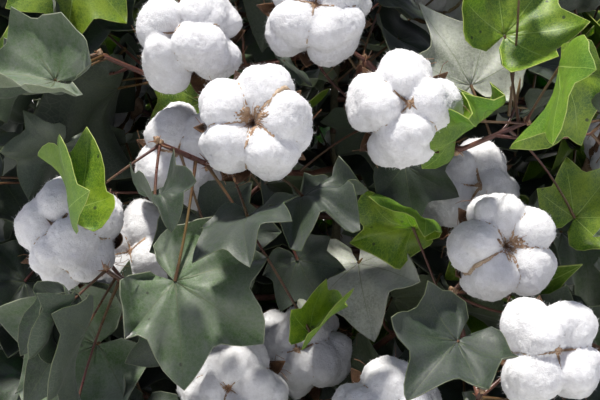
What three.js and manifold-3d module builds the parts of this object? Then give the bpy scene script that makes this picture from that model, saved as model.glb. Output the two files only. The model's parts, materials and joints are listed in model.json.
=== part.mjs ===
// A cotton plant with open bolls, as a three.js scene graph in millimetres, +Z up.
// The origin is the centre of the flat cut under the main stem, at ground level.
// A straight main stem carries fruiting branches, and each branch carries bolls on short stalks
// and a mass of lobed leaves on thin leaf stalks.

import * as THREE from "three";
import { mergeVertices } from "three/addons/utils/BufferGeometryUtils.js";
import Module from "manifold-3d";

const wasm = await Module();
wasm.setup();

// Driving sizes of the whole plant.
const STEM_HEIGHT = 885;
const STEM_TOP_RADIUS = 2.4;
const STEM_FOOT_RADIUS = 8.5;
const FLARE_RADIUS = 5.5;
const FLARE_HEIGHT = 22;
const STEM_LEAN = [10, 14];
const STEM_SWAY = 3.5;
const STEM_SWAY_LENGTH = 190;
const CROWN_CENTRE = 590;
const CROWN_REACH = 400;
const CROWN_HALF_HEIGHT = 490;
const JOINT_GAP = 0.35;

// Driving sizes of a fruiting branch.
const BOUGH_ROOT_RADIUS = 3.6;
const TWIG_ROOT_RADIUS = 2.6;
const TWIG_TIP_RADIUS = 1.5;
const BOUGH_SHARE = 0.7;
const BOUGH_SAG = 9;
const NODE_SWAY = 47;
const NODE_DROP = 29;
const TIP_LENGTH = 62;
const TIP_RISE = 25;
const TIP_TURN = 14;
const TWIG_START = 7;

// Driving sizes of an open boll: plump locks of lint that sit in a dry, pointed bur. Each ring of
// its surface has an angle from the boll's axis, a radius on a lock and a radius in a gap between
// two locks. Behind the middle, the gap's radius is the bur's point. Bolls of the front half turn
// towards the sun, and leaves keep out of the room in front of a boll's open face.
const LOCK_COUNTS = [4, 5, 4, 4, 5];
const BOLL_RADIUS = 47;
const BOLL_RINGS = [
  { angle: 24, lock: 0.86, gap: 0.34 },
  { angle: 55, lock: 1.0, gap: 0.56 },
  { angle: 88, lock: 0.99, gap: 0.72 },
  { angle: 118, lock: 0.86, gap: 0.9 },
  { angle: 150, lock: 0.6, gap: 0.5 },
];
const BOLL_FRONT = 0.2;
const BOLL_SEAT = 29;
const BOLL_CLEAR = 49;
const BOLL_RISE = 18;
const SUN_BEARING = -90;
const SUN_TURN = 0.75;
const FACE_ROOM = [[78, 40], [115, 36], [150, 30]];
const STALK_RADIUS = 1.7;

// Driving sizes of a leaf.
const LEAF_THICKNESS = 1.5;
const LEAF_NOTCH = 2.2;
const LEAF_BEND = 4;
const LEAF_SHARPEST = -0.3;
const LEAF_STALK_RADIUS = 1.2;
const LEAF_TRIES = 100;
const LEAF_GAP = 5.5;
const SAMPLE_STEP = 10;
const SHOWN_TRIES = 120;
const SHOWN_WOBBLE = 0.35;
const SHOWN_DROOP = 0.15;

// The leaf's outline, as bearing from the middle lobe in degrees and share of the leaf's length.
const LEAF_OUTLINE = [
  [0, 1.0],
  [24, 0.6],
  [50, 0.82],
  [92, 0.5],
  [138, 0.47],
];
const LEAF_MIDDLE = 0.33;

// The fruit map: the height at which each fruiting branch leaves the main stem, and for each of
// its bolls the bearing round the stem in degrees, the reach from the stem and the height.
const FRUIT_MAP = [
  { stem: 250, bolls: [[-156, 215, 350]], hand: -1 },
  { stem: 292, bolls: [[14, 235, 385]], hand: 1 },
  { stem: 334, bolls: [[122, 205, 450], [106, 275, 425]] },
  { stem: 376, bolls: [[-77, 195, 479]], hand: 1 },
  { stem: 416, bolls: [[-110, 80, 497], [-117, 186, 492]] },
  { stem: 456, bolls: [[-51, 222, 616], [-57, 304, 552]] },
  { stem: 496, bolls: [[59, 80, 562], [84, 190, 610]] },
  { stem: 534, bolls: [[-149, 194, 593], [-140, 281, 630]] },
  { stem: 570, bolls: [[-33, 142, 645], [-8, 265, 665]] },
  { stem: 604, bolls: [[-136, 172, 682], [160, 225, 705]] },
  { stem: 650, bolls: [[-105, 244, 730]], hand: -1 },
  { stem: 684, bolls: [[-96, 152, 808], [-75, 212, 736]] },
  { stem: 714, bolls: [[-17, 300, 760]], hand: 1 },
  { stem: 742, bolls: [[41, 115, 800], [62, 195, 870]] },
  { stem: 768, bolls: [[-127, 197, 786]], hand: -1 },
  { stem: 792, bolls: [[135, 185, 830], [152, 270, 860]] },
];

// The leaves that show most from the front: the branch and the place on its twig (segment, share)
// that carry the leaf, the bearing, reach and height of the joint between stalk and blade, the
// bearing, pitch and roll of the blade in degrees, and its length.
const SHOWN_LEAVES = [
  { branch: 11, at: [1, 0.3], joint: [-118, 270, 605], blade: [-15, -30, 55], length: 110 },
  { branch: 11, at: [1, 0.95], joint: [-130, 320, 665], blade: [125, 55, 15], length: 70 },
  { branch: 11, at: [1, 0.6], joint: [-121, 210, 640], blade: [-20, -55, 65], length: 80 },
  { branch: 6, at: [0, 0.7], joint: [-65, 158, 626], blade: [-178, 22, -140], length: 85 },
  { branch: 15, at: [1, 0.95], joint: [-139, 300, 745], blade: [165, 5, -55], length: 90 },
  { branch: 15, at: [0, 0.15], joint: [-152, 130, 720], blade: [175, -20, -75], length: 65 },
  { branch: 12, at: [2, 0.5], joint: [-47, 170, 745], blade: [150, 50, -35], length: 90 },
  { branch: 12, at: [2, 0.9], joint: [-47, 205, 790], blade: [40, 40, 50], length: 85 },
  { branch: 12, at: [2, 1], joint: [-51, 275, 775], blade: [-165, -70, -130], length: 100 },
  { branch: 12, at: [1, 0.6], joint: [-69, 132, 655], blade: [-15, -45, 75], length: 60 },
  { branch: 12, at: [2, 0.75], joint: [-30, 240, 630], blade: [25, 45, 60], length: 65 },
  { branch: 9, at: [0, 0.1], joint: [-65, 95, 580], blade: [-70, -20, 15], length: 90 },
  { branch: 11, at: [1, 0.1], joint: [-103, 185, 585], blade: [75, 68, 15], length: 68 },
  { branch: 8, at: [1, 0.4], joint: [-138, 255, 550], blade: [-170, -30, -55], length: 100 },
  { branch: 8, at: [2, 0.9], joint: [-128, 245, 560], blade: [165, -50, -95], length: 60 },
  { branch: 11, at: [0, 0.1], joint: [-101, 145, 595], blade: [-20, -55, 70], length: 75 },
  { branch: 4, at: [1, 0.8], joint: [-44, 160, 495], blade: [-165, 0, -25], length: 65 },
  { branch: 16, at: [2, 0.75], joint: [-162, 230, 840], blade: [-110, -65, -25], length: 80 },
];

// Seeded draws, the same for the same seeds.
class Draws {
  constructor(...seeds) {
    this.state = 2166136261;
    for (const seed of seeds) this.state = Math.imul(this.state ^ seed, 16777619) >>> 0;
    for (let i = 0; i < 4; i++) this.next();
  }
  next() {
    this.state = (Math.imul(this.state, 1664525) + 1013904223) >>> 0;
    return this.state / 4294967296;
  }
  between(low, high) {
    return low + (high - low) * this.next();
  }
}

const vec = (x, y, z) => new THREE.Vector3(x, y, z);
const UP = vec(0, 0, 1);
const rad = THREE.MathUtils.degToRad;
const deg = THREE.MathUtils.radToDeg;

// The unit vector at a bearing round the stem and a rise above the horizon, both in degrees.
function heading(bearing, rise) {
  const b = rad(bearing);
  const r = rad(rise);
  return vec(Math.cos(b) * Math.cos(r), Math.sin(b) * Math.cos(r), Math.sin(r));
}

const wrapped = (angle) => angle - 360 * Math.round(angle / 360);
const bearingOf = (v) => deg(Math.atan2(v.y, v.x));
const along = (a, b, t) => a.clone().lerp(b, t);
const from = (p, direction, length) => p.clone().addScaledVector(direction, length);

// A closed mesh made from rings of points, with a fan over each end.
function ringsToGeometry(rings) {
  const sides = rings[0].length;
  const points = rings.flat();
  const index = [];
  for (let i = 0; i + 1 < rings.length; i++)
    for (let k = 0; k < sides; k++) {
      const a = i * sides + k;
      const b = i * sides + ((k + 1) % sides);
      index.push(a, b, b + sides, a, b + sides, a + sides);
    }
  const last = (rings.length - 1) * sides;
  for (let k = 1; k + 1 < sides; k++) {
    index.push(0, k + 1, k);
    index.push(last, last + k, last + k + 1);
  }
  return indexed(points, index);
}

function indexed(points, index) {
  const geometry = new THREE.BufferGeometry().setFromPoints(points);
  geometry.setIndex(index);
  return geometry;
}

// A tapered tube along points, with one radius for each point.
function tube(points, radii, sides) {
  const rings = [];
  let side = null;
  points.forEach((p, i) => {
    const before = points[Math.max(i - 1, 0)];
    const after = points[Math.min(i + 1, points.length - 1)];
    const run = after.clone().sub(before).normalize();
    side = side || (Math.abs(run.z) < 0.9 ? UP.clone() : vec(1, 0, 0));
    side.addScaledVector(run, -side.dot(run)).normalize();
    const across = run.clone().cross(side);
    const ring = [];
    for (let k = 0; k < sides; k++) {
      const angle = (2 * Math.PI * k) / sides;
      const out = side.clone().multiplyScalar(Math.cos(angle)).addScaledVector(across, Math.sin(angle));
      ring.push(from(p, out, radii[i]));
    }
    rings.push(ring);
  });
  return ringsToGeometry(rings);
}

// A closed three.js geometry as a manifold-3d solid.
function solidOf(geometry) {
  const bare = geometry.clone();
  bare.deleteAttribute("normal");
  bare.deleteAttribute("uv");
  const merged = mergeVertices(bare, 1e-4);
  return new wasm.Manifold(
    new wasm.Mesh({
      numProp: 3,
      vertProperties: merged.attributes.position.array,
      triVerts: new Uint32Array(merged.index.array),
    }),
  );
}

// A manifold-3d solid as a three.js geometry.
function geometryOf(solid) {
  const mesh = solid.getMesh();
  const geometry = new THREE.BufferGeometry();
  geometry.setAttribute("position", new THREE.BufferAttribute(new Float32Array(mesh.vertProperties), 3));
  geometry.setIndex(new THREE.BufferAttribute(new Uint32Array(mesh.triVerts), 1));
  geometry.computeVertexNormals();
  return geometry;
}

const fuse = (solids) => solids.reduce((whole, solid) => whole.add(solid));

// The main stem: its centre line, its taper and its root flare.
function stemCentre(z) {
  const share = z / STEM_HEIGHT;
  const sway = STEM_SWAY * Math.sin((2 * Math.PI * z) / STEM_SWAY_LENGTH) * Math.min(1, share * 4);
  return vec(STEM_LEAN[0] * share * share + sway, STEM_LEAN[1] * share * share - sway * 0.6, z);
}

function stemRadius(z) {
  const taper = THREE.MathUtils.lerp(STEM_FOOT_RADIUS, STEM_TOP_RADIUS, Math.pow(z / STEM_HEIGHT, 0.85));
  return taper + FLARE_RADIUS * Math.exp(-z / FLARE_HEIGHT);
}

function stemGeometry(extra) {
  const sides = 10;
  const heights = [0, 12, 28, 50, 80];
  while (heights.at(-1) < STEM_HEIGHT - 1) heights.push(Math.min(STEM_HEIGHT, heights.at(-1) + 37.5));
  const rings = heights.map((z) => {
    const centre = stemCentre(z);
    return Array.from({ length: sides }, (_, k) =>
      from(centre, heading((360 * k) / sides, 0), stemRadius(z) + extra),
    );
  });
  return ringsToGeometry(rings);
}

// The plan of one fruiting branch: its bolls, the nodes that carry them, and the branch's own line.
function planBranch(row, number) {
  const root = from(stemCentre(row.stem), heading(row.bolls[0][0], 0), stemRadius(row.stem) * 0.3);
  const bearings = row.bolls.map((b) => b[0]);
  const hand = row.hand ?? Math.sign(wrapped(bearings[1] - bearings[0]));
  const nodes = [];
  const bolls = row.bolls.map(([bearing, reach, height], j) => {
    const centre = heading(bearing, 0).multiplyScalar(reach).setZ(height);
    const offSun = wrapped(SUN_BEARING - bearing);
    const axis = heading(bearing + (Math.abs(offSun) < 80 ? offSun * SUN_TURN : 0), BOLL_RISE);
    const beside = heading(bearing + 90, 0);
    const swing = hand * NODE_SWAY * (1 + 0.12 * (j % 2 ? 1 : -1));
    const seat = from(centre, axis, -BOLL_SEAT);
    nodes.push(from(from(seat, axis, -16), beside, swing).addScaledVector(UP, -NODE_DROP));
    return { centre, axis, seat, locks: LOCK_COUNTS[(number + j) % LOCK_COUNTS.length] };
  });
  const lastRun = nodes.at(-1).clone().sub(nodes.at(-2) ?? root);
  const tipBearing = bearingOf(lastRun) + hand * TIP_TURN;
  const tip = from(nodes.at(-1), heading(tipBearing, TIP_RISE), TIP_LENGTH);
  const boughEnd = along(root, nodes[0], BOUGH_SHARE);
  return { number, root, nodes, bolls, tip, boughEnd, hand };
}

// The line of a bough, arched a little, from the stem's axis to its end.
function boughLine(plan) {
  const steps = 3;
  return Array.from({ length: steps + 1 }, (_, i) => {
    const t = i / steps;
    return from(along(plan.root, plan.boughEnd, t), UP, -BOUGH_SAG * Math.sin(Math.PI * t) * (1 - t * 0.6));
  });
}

const boughRadius = (plan) => Math.min(BOUGH_ROOT_RADIUS, 0.8 * stemRadius(plan.root.z));

// The line of the twig that goes on from a bough through the branch's nodes to its tip.
function twigLine(plan) {
  const line = boughLine(plan);
  const run = line.at(-1).clone().sub(line.at(-2)).normalize();
  return [from(line.at(-1), run, JOINT_GAP), from(line.at(-1), run, TWIG_START), ...plan.nodes, plan.tip];
}

const taperTo = (count, first, last) =>
  Array.from({ length: count }, (_, i) => THREE.MathUtils.lerp(first, last, i / Math.max(1, count - 1)));

// A short boll stalk that leaves its node and turns into the boll's own axis.
function stalkLine(plan, j) {
  const { axis, seat } = plan.bolls[j];
  return [plan.nodes[j], from(seat, axis, -13), from(seat, axis, -JOINT_GAP)];
}

// An open boll as one closed surface: its locks bulge round a starred hollow at the front, and the
// bur's points show between them at the back, where the boll sits on its stalk.
function bollGeometry({ centre, axis, locks }, number) {
  const draws = new Draws(71, number);
  const turn = new THREE.Quaternion().setFromUnitVectors(UP, axis);
  const twist = draws.between(0, 360);
  const plumpness = Array.from({ length: locks }, () => draws.between(0.95, 1.03));
  const place = (angle, bearing, radius) =>
    heading(bearing, 90 - angle).multiplyScalar(radius).applyQuaternion(turn).add(centre);
  const points = [];
  for (const { angle, lock, gap } of BOLL_RINGS)
    for (let k = 0; k < locks; k++)
      for (const [share, turned] of [[0, -0.5], [0.82, -0.27], [1, 0], [0.82, 0.27]]) {
        const radius = BOLL_RADIUS * THREE.MathUtils.lerp(gap, lock * plumpness[k], share);
        points.push(place(angle, twist + (360 * (k + turned)) / locks, radius));
      }
  const sides = locks * 4;
  const index = [];
  const rows = BOLL_RINGS.length;
  for (let i = 0; i + 1 < rows; i++)
    for (let k = 0; k < sides; k++) {
      const a = i * sides + k;
      const b = i * sides + ((k + 1) % sides);
      index.push(a, a + sides, b + sides, a, b + sides, b);
    }
  const front = points.push(from(centre, axis, BOLL_RADIUS * BOLL_FRONT)) - 1;
  const back = points.push(from(centre, axis, -BOLL_SEAT)) - 1;
  const last = (rows - 1) * sides;
  for (let k = 0; k < sides; k++) {
    const next = (k + 1) % sides;
    index.push(front, k, next, back, last + next, last + k);
  }
  return indexed(points, index);
}

// A leaf's frame: where its stalk joins the blade, the midrib's direction, the blade's upward
// direction, its length, and how far the blade droops for each millimetre from the joint.
function leafFrame(joint, bearing, pitch, roll, length, droop) {
  const midrib = heading(bearing, pitch);
  const level = heading(bearing + 90, 0);
  const flatUp = midrib.clone().cross(level);
  const across = level.multiplyScalar(Math.cos(rad(roll))).addScaledVector(flatUp, Math.sin(rad(roll)));
  return { joint, midrib, across, face: midrib.clone().cross(across), length, droop };
}

const onLeaf = ({ joint, midrib, across, face }, x, y, z) =>
  from(from(from(joint, midrib, x), across, y), face, z);

// The blade's height over its own plane: highest in the middle, and level with the joint at it.
const bladeRise = ({ length, droop }, x, y) =>
  droop * (LEAF_MIDDLE * length - Math.hypot(x - LEAF_MIDDLE * length, y));

function leafOutline({ length }) {
  const half = LEAF_OUTLINE.map(([bearing, share]) => {
    const r = share * length;
    return [r * Math.cos(rad(bearing)), r * Math.sin(rad(bearing))];
  });
  const mirrored = half.slice(1).map(([x, y]) => [x, -y]).reverse();
  return [...half, [0, 0], ...mirrored];
}

// A leaf as one closed mesh: a thin blade fanned round its middle, whose notch runs on into a
// three-sided stalk that bends down to its root.
function leafGeometry({ frame, stalk }) {
  const outline = leafOutline(frame);
  const middle = [LEAF_MIDDLE * frame.length, 0];
  const notch = outline.findIndex(([x]) => x === 0);
  const half = LEAF_THICKNESS / 2;
  const points = [];
  const index = [];
  const lift = ([x, y], z) => points.push(onLeaf(frame, x, y, z + bladeRise(frame, x, y))) - 1;
  const top = outline.flatMap((p, i) =>
    i === notch ? [lift([0, LEAF_NOTCH / 2], half), lift([0, -LEAF_NOTCH / 2], half)] : [lift(p, half)],
  );
  const below = outline.map((p) => lift(p, -half));
  const under = [...below.slice(0, notch), below[notch], ...below.slice(notch)];
  const topMiddle = lift(middle, half);
  const lowMiddle = lift(middle, -half);
  top.forEach((a, i) => {
    const j = (i + 1) % top.length;
    index.push(topMiddle, a, top[j]);
    if (i === notch) return;
    index.push(lowMiddle, under[j], under[i], a, under[i], under[j], a, under[j], top[j]);
  });

  const mouth = [top[notch], below[notch], top[notch + 1]];
  const back = frame.midrib.clone().negate();
  const bend = from(frame.joint, back, LEAF_BEND);
  const down = stalk[0].clone().sub(bend).normalize();
  const rings = [[bend, back.clone().add(down).normalize(), 1.1], [stalk[0], down, 1.4]];
  let ring = mouth;
  for (const [centre, run, size] of rings) {
    const turn = new THREE.Quaternion().setFromUnitVectors(back, run);
    const next = mouth.map((m) => {
      const spoke = points[m].clone().sub(frame.joint).multiplyScalar(size).applyQuaternion(turn);
      return points.push(centre.clone().add(spoke)) - 1;
    });
    ring.forEach((u, k) => {
      const v = (k + 1) % 3;
      index.push(u, ring[v], next[v], u, next[v], next[k]);
    });
    ring = next;
  }
  index.push(...ring);
  return indexed(points, index);
}

// Points spread over a leaf, for the clearance test.
function leafSamples(frame) {
  const outline = leafOutline(frame);
  const middle = LEAF_MIDDLE * frame.length;
  const samples = [];
  outline.forEach(([x, y], i) => {
    const [u, v] = outline[(i + 1) % outline.length];
    const rim = Math.ceil(Math.hypot(u - x, v - y) / SAMPLE_STEP);
    for (let k = 0; k < rim; k++)
      for (const t of k % 2 ? [1] : [1, 0.8, 0.6, 0.4, 0.2]) {
        const px = middle + (x + ((u - x) * k) / rim - middle) * t;
        const py = (y + ((v - y) * k) / rim) * t;
        samples.push(onLeaf(frame, px, py, bladeRise(frame, px, py)));
      }
  });
  return samples;
}

// How far a point is from a leaf's blade, taken as a shallow cone on a round base.
function leafDistance(frame, p) {
  const d = p.clone().sub(frame.joint);
  const x = d.dot(frame.midrib);
  const y = d.dot(frame.across);
  const beyond = Math.max(0, Math.hypot(x - LEAF_MIDDLE * frame.length, y) - 0.69 * frame.length);
  return Math.hypot(d.dot(frame.face) - bladeRise(frame, x, y), beyond);
}

// Everything that a new leaf has to keep clear of.
const taken = { balls: [], faces: [], limbs: [], leaves: [] };

function addLimb(points, radius) {
  for (let i = 0; i + 1 < points.length; i++) {
    const steps = Math.ceil(points[i].distanceTo(points[i + 1]) / 6);
    for (let k = 0; k <= steps; k++) taken.limbs.push({ p: along(points[i], points[i + 1], k / steps), radius });
  }
}

function inCrown(p) {
  const out = Math.hypot(p.x, p.y) / CROWN_REACH;
  return Math.hypot(out, (p.z - CROWN_CENTRE) / CROWN_HALF_HEIGHT) < 1;
}

function leafIsClear(frame, stalk, shown) {
  const middle = onLeaf(frame, LEAF_MIDDLE * frame.length, 0, 0);
  const span = frame.length * 0.8;
  for (const ball of taken.balls)
    if (leafDistance(frame, ball) < BOLL_CLEAR + 2) return false;
  if (!shown)
    for (const face of taken.faces) if (leafDistance(frame, face.p) < face.room) return false;
  for (const limb of taken.limbs)
    if (limb.p.distanceTo(middle) < span + 20 && leafDistance(frame, limb.p) < limb.radius + 3) return false;
  const samples = leafSamples(frame);
  if (!samples.every(inCrown)) return false;
  for (const other of taken.leaves) {
    if (other.middle.distanceTo(middle) > span + other.frame.length * 0.8 + 10) continue;
    if (samples.some((p) => leafDistance(other.frame, p) < LEAF_GAP)) return false;
    if (other.samples.some((p) => leafDistance(frame, p) < LEAF_GAP)) return false;
  }
  return stalkIsClear(stalk);
}

function stalkIsClear(stalk) {
  const steps = 14;
  for (let k = 3; k <= steps; k++) {
    const t = k / steps;
    const p = along(stalk[0], stalk[1], t);
    if (taken.balls.some((ball) => ball.distanceTo(p) < BOLL_CLEAR + 3)) return false;
    if (taken.limbs.some((limb) => limb.p.distanceTo(p) < limb.radius + 3.5)) return false;
    if (taken.leaves.some((leaf) => leafDistance(leaf.frame, p) < LEAF_GAP)) return false;
  }
  return true;
}

// Tries draws for a leaf on a station of a twig until one is clear, or gives up.
function growLeaf(station, seeds) {
  const draws = new Draws(...seeds);
  const outward = bearingOf(station.p);
  for (let attempt = 0; attempt < LEAF_TRIES; attempt++) {
    const bearing = outward + draws.between(-1, 1) * station.spread;
    const rise = draws.between(station.rise[0], station.rise[1]);
    const reach = draws.between(0.45, 1) * station.stalk;
    const length = station.length * draws.between(0.85, 1.1) * (attempt > LEAF_TRIES / 2 ? 0.8 : 1);
    const bladeBearing = bearing + draws.between(-35, 35);
    const pitch = draws.between(-70, 10);
    const roll = draws.between(-40, 40);
    const droop = draws.between(0.08, 0.3);
    const joint = from(station.p, heading(bearing, rise), reach);
    const frame = leafFrame(joint, bladeBearing, pitch, roll, length, droop);
    const stalk = [station.p, joint];
    if (frame.midrib.dot(heading(bearing, rise)) < LEAF_SHARPEST) continue;
    if (leafIsClear(frame, stalk)) return { frame, stalk };
  }
  return null;
}

// Grows a leaf in its shown place, or as near to it as the first clear try allows.
function growShown({ at: [segment, share], joint, blade, length }, line, seeds) {
  const draws = new Draws(...seeds);
  const root = along(line[segment], line[segment + 1], share);
  const shown = heading(joint[0], 0).multiplyScalar(joint[1]).setZ(joint[2]);
  for (let attempt = 0; attempt < SHOWN_TRIES; attempt++) {
    const wobble = () => draws.between(-1, 1) * attempt * SHOWN_WOBBLE;
    const moved = shown.clone().add(vec(wobble(), wobble(), wobble()));
    const [bearing, pitch, roll] = blade.map((angle) => angle + wobble());
    const frame = leafFrame(moved, bearing, pitch, roll, length, SHOWN_DROOP);
    if (frame.midrib.dot(moved.clone().sub(root).normalize()) < LEAF_SHARPEST * 2) continue;
    if (leafIsClear(frame, [root, moved], true)) return { frame, stalk: [root, moved] };
  }
  return null;
}

function keepLeaf(leaf) {
  const samples = leafSamples(leaf.frame);
  taken.leaves.push({ frame: leaf.frame, samples, middle: onLeaf(leaf.frame, LEAF_MIDDLE * leaf.frame.length, 0, 0) });
  addLimb(leaf.stalk, LEAF_STALK_RADIUS);
}

// The stations of a branch's leaves along its twig: [segment, share of the segment, rule]. The
// first segment leads to the first node and the last one to the tip.
function branchStations(plan) {
  const line = twigLine(plan).slice(1);
  const last = line.length - 2;
  const inner = { spread: 130, rise: [-20, 80], stalk: 105, length: 112 };
  const outer = { spread: 100, rise: [-30, 70], stalk: 88, length: 105 };
  const small = { spread: 110, rise: [-35, 75], stalk: 64, length: 86 };
  const slots = [
    [0, 0.15, inner],
    [last, 0.06, outer],
    [last, 0.97, small],
    [0, 0.55, inner],
    [last, 0.5, outer],
    [0, 0.9, inner],
    [last, 0.88, small],
    [0, 0.35, inner],
    [last, 0.25, outer],
  ];
  if (last > 1) slots.push([1, 0.5, outer], [1, 0.15, inner]);
  return slots.map(([segment, t, rule]) => ({ p: along(line[segment], line[segment + 1], t), ...rule }));
}

// The growing top of the plant: a short shoot that goes on from the stem, with small leaves.
function topLine() {
  const start = stemCentre(STEM_HEIGHT).setZ(STEM_HEIGHT + JOINT_GAP);
  return [start, from(start, UP, 38).add(vec(5, -3, 0)), from(start, UP, 85).add(vec(2, -8, 0))];
}

function topStations(line) {
  const rule = { spread: 180, rise: [-5, 75], stalk: 70, length: 88 };
  return [0.12, 0.42, 0.55, 0.7, 0.8, 0.9, 1, 0.22, 0.32, 0.62, 0.86].map((t) => ({
    p: t < 0.5 ? along(line[0], line[1], t * 2) : along(line[1], line[2], t * 2 - 1),
    ...rule,
  }));
}

const plans = FRUIT_MAP.map((row, i) => planBranch(row, i + 1));
const top = topLine();

for (const plan of plans) {
  for (const { centre, axis } of plan.bolls) {
    taken.balls.push(centre);
    for (const [reach, room] of FACE_ROOM) taken.faces.push({ p: from(centre, axis, reach), room });
  }
  addLimb(boughLine(plan), BOUGH_ROOT_RADIUS);
  addLimb(twigLine(plan), TWIG_ROOT_RADIUS);
  plan.bolls.forEach((_, j) => addLimb(stalkLine(plan, j).slice(0, 2), STALK_RADIUS));
}
addLimb(Array.from({ length: 20 }, (_, i) => stemCentre((STEM_HEIGHT * i) / 19)), STEM_FOOT_RADIUS * 0.8);
addLimb(top, TWIG_ROOT_RADIUS);

const masses = plans.map((plan) => ({ plan, stations: branchStations(plan), leaves: [] }));
masses.push({ plan: null, stations: topStations(top), leaves: [] });
SHOWN_LEAVES.forEach((row, i) => {
  const mass = masses[row.branch - 1];
  const leaf = growShown(row, twigLine(mass.plan).slice(1), [97, i + 1]);
  if (!leaf) return;
  mass.leaves.push(leaf);
  keepLeaf(leaf);
});
const mostStations = Math.max(...masses.map((mass) => mass.stations.length));
for (let slot = 0; slot < mostStations; slot++)
  masses.forEach((mass, m) => {
    const station = mass.stations[slot];
    const leaf = station && growLeaf(station, [m + 1, slot + 1]);
    if (!leaf) return;
    mass.leaves.push(leaf);
    keepLeaf(leaf);
  });

function massGeometry({ plan, leaves }) {
  const line = plan ? twigLine(plan) : top;
  const solids = [solidOf(tube(line, taperTo(line.length, TWIG_ROOT_RADIUS, TWIG_TIP_RADIUS), 4))];
  if (plan)
    plan.bolls.forEach((_, j) =>
      solids.push(solidOf(tube(stalkLine(plan, j), [STALK_RADIUS * 0.9, STALK_RADIUS, STALK_RADIUS * 1.5], 3))),
    );
  for (const leaf of leaves) solids.push(solidOf(leafGeometry(leaf)));
  return geometryOf(fuse(solids));
}

// Materials.
const stemMaterial = new THREE.MeshStandardMaterial({ color: 0x5f6136, roughness: 0.75, metalness: 0 });
const branchMaterial = new THREE.MeshStandardMaterial({ color: 0x6d4436, roughness: 0.7, metalness: 0 });
const leafMaterial = new THREE.MeshStandardMaterial({ color: 0x4d6340, roughness: 0.65, metalness: 0 });
const lintMaterial = new THREE.MeshStandardMaterial({ color: 0xf4f2f0, roughness: 0.95, metalness: 0 });

const plant = new THREE.Group();

function addMesh(name, geometry, material) {
  const mesh = new THREE.Mesh(geometry, material);
  mesh.name = name;
  plant.add(mesh);
}

const two = (n) => String(n).padStart(2, "0");
const stemSolid = solidOf(stemGeometry(0));
const stemRoom = solidOf(stemGeometry(JOINT_GAP));
addMesh("main_stem", geometryOf(stemSolid), stemMaterial);

for (const plan of plans) {
  const line = boughLine(plan);
  const whole = solidOf(tube(line, taperTo(line.length, boughRadius(plan), TWIG_ROOT_RADIUS), 5));
  addMesh(`branch_${two(plan.number)}`, geometryOf(whole.subtract(stemRoom)), branchMaterial);
}

let bollNumber = 0;
for (const plan of plans)
  for (const boll of plan.bolls) {
    bollNumber += 1;
    addMesh(`boll_${two(bollNumber)}`, bollGeometry(boll, bollNumber), lintMaterial);
  }

for (const mass of masses)
  addMesh(mass.plan ? `leaves_${two(mass.plan.number)}` : "leaves_top", massGeometry(mass), leafMaterial);

export default plant;
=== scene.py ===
# %% [markdown]
# # A cotton plant with open bolls
#
# A grown cotton plant: a slender main stem, fruiting branches that zigzag from node to node, lobed
# leaves on long stalks, and open bolls whose white locks of lint swell out of a dry brown bur.
# The solids of the frame say where each branch, boll and mass of leaves is. This lesson grows the
# same plant again by the same rules, carries it on to finer leaves, and dresses every part.

import json
import math

import bmesh
import bpy
import numpy as np
from mathutils import Matrix, Vector, noise

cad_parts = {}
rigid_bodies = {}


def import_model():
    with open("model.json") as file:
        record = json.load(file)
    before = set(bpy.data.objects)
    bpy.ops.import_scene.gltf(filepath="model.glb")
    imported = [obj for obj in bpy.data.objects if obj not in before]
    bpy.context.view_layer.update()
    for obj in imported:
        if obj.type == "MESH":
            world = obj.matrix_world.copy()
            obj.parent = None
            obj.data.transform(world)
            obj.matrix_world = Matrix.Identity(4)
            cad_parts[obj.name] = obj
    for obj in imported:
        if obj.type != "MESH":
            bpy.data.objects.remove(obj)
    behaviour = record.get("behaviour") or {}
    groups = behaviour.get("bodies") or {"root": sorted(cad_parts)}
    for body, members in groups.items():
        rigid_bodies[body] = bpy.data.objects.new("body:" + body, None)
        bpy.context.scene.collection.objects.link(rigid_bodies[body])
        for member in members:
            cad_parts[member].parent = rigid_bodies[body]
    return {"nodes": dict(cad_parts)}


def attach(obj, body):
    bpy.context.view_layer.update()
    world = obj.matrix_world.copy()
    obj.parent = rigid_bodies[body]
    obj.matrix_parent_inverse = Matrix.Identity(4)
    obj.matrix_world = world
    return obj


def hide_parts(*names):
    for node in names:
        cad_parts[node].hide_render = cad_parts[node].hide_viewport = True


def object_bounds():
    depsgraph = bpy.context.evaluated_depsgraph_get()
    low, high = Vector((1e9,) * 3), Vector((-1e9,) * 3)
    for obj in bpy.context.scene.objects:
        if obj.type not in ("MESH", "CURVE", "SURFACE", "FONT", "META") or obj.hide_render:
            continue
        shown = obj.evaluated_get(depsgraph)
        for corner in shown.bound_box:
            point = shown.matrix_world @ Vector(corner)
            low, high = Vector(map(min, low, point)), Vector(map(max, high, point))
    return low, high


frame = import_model()
cad_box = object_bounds()
MM = 0.001
print("solid plant:", len(frame["nodes"]), "nodes, height", round(cad_box[1][2], 3), "m")

# %% [markdown]
# ## Camera, light and floor
#
# The photo was taken from near the crown, a little above it and looking slightly down, with a
# long lens: the branches behind look nearly as large as those in front. The camera aims at the
# middle of what the photo shows, so only a piece of the crown fills the frame. The light could be
# several lamps, but leaves outdoors have one sharp side and one soft one. So it is a single soft
# sun, which stands high, a little to the left and in front, under a pale sky. The floor is plain.

# %% Camera, light and floor
VIEW_AIM = Vector((-0.028, 0.0, 0.620))
VIEW_DISTANCE = 1.5
VIEW_DOWN = math.radians(12)
VIEW_WIDTH = 0.56
SENSOR_WIDTH = 36.0
VIEW_BACK = Vector((0, -math.cos(VIEW_DOWN), math.sin(VIEW_DOWN)))


def add_object(name, data):
    thing = bpy.data.objects.new(name, data)
    bpy.context.collection.objects.link(thing)
    return thing


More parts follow.
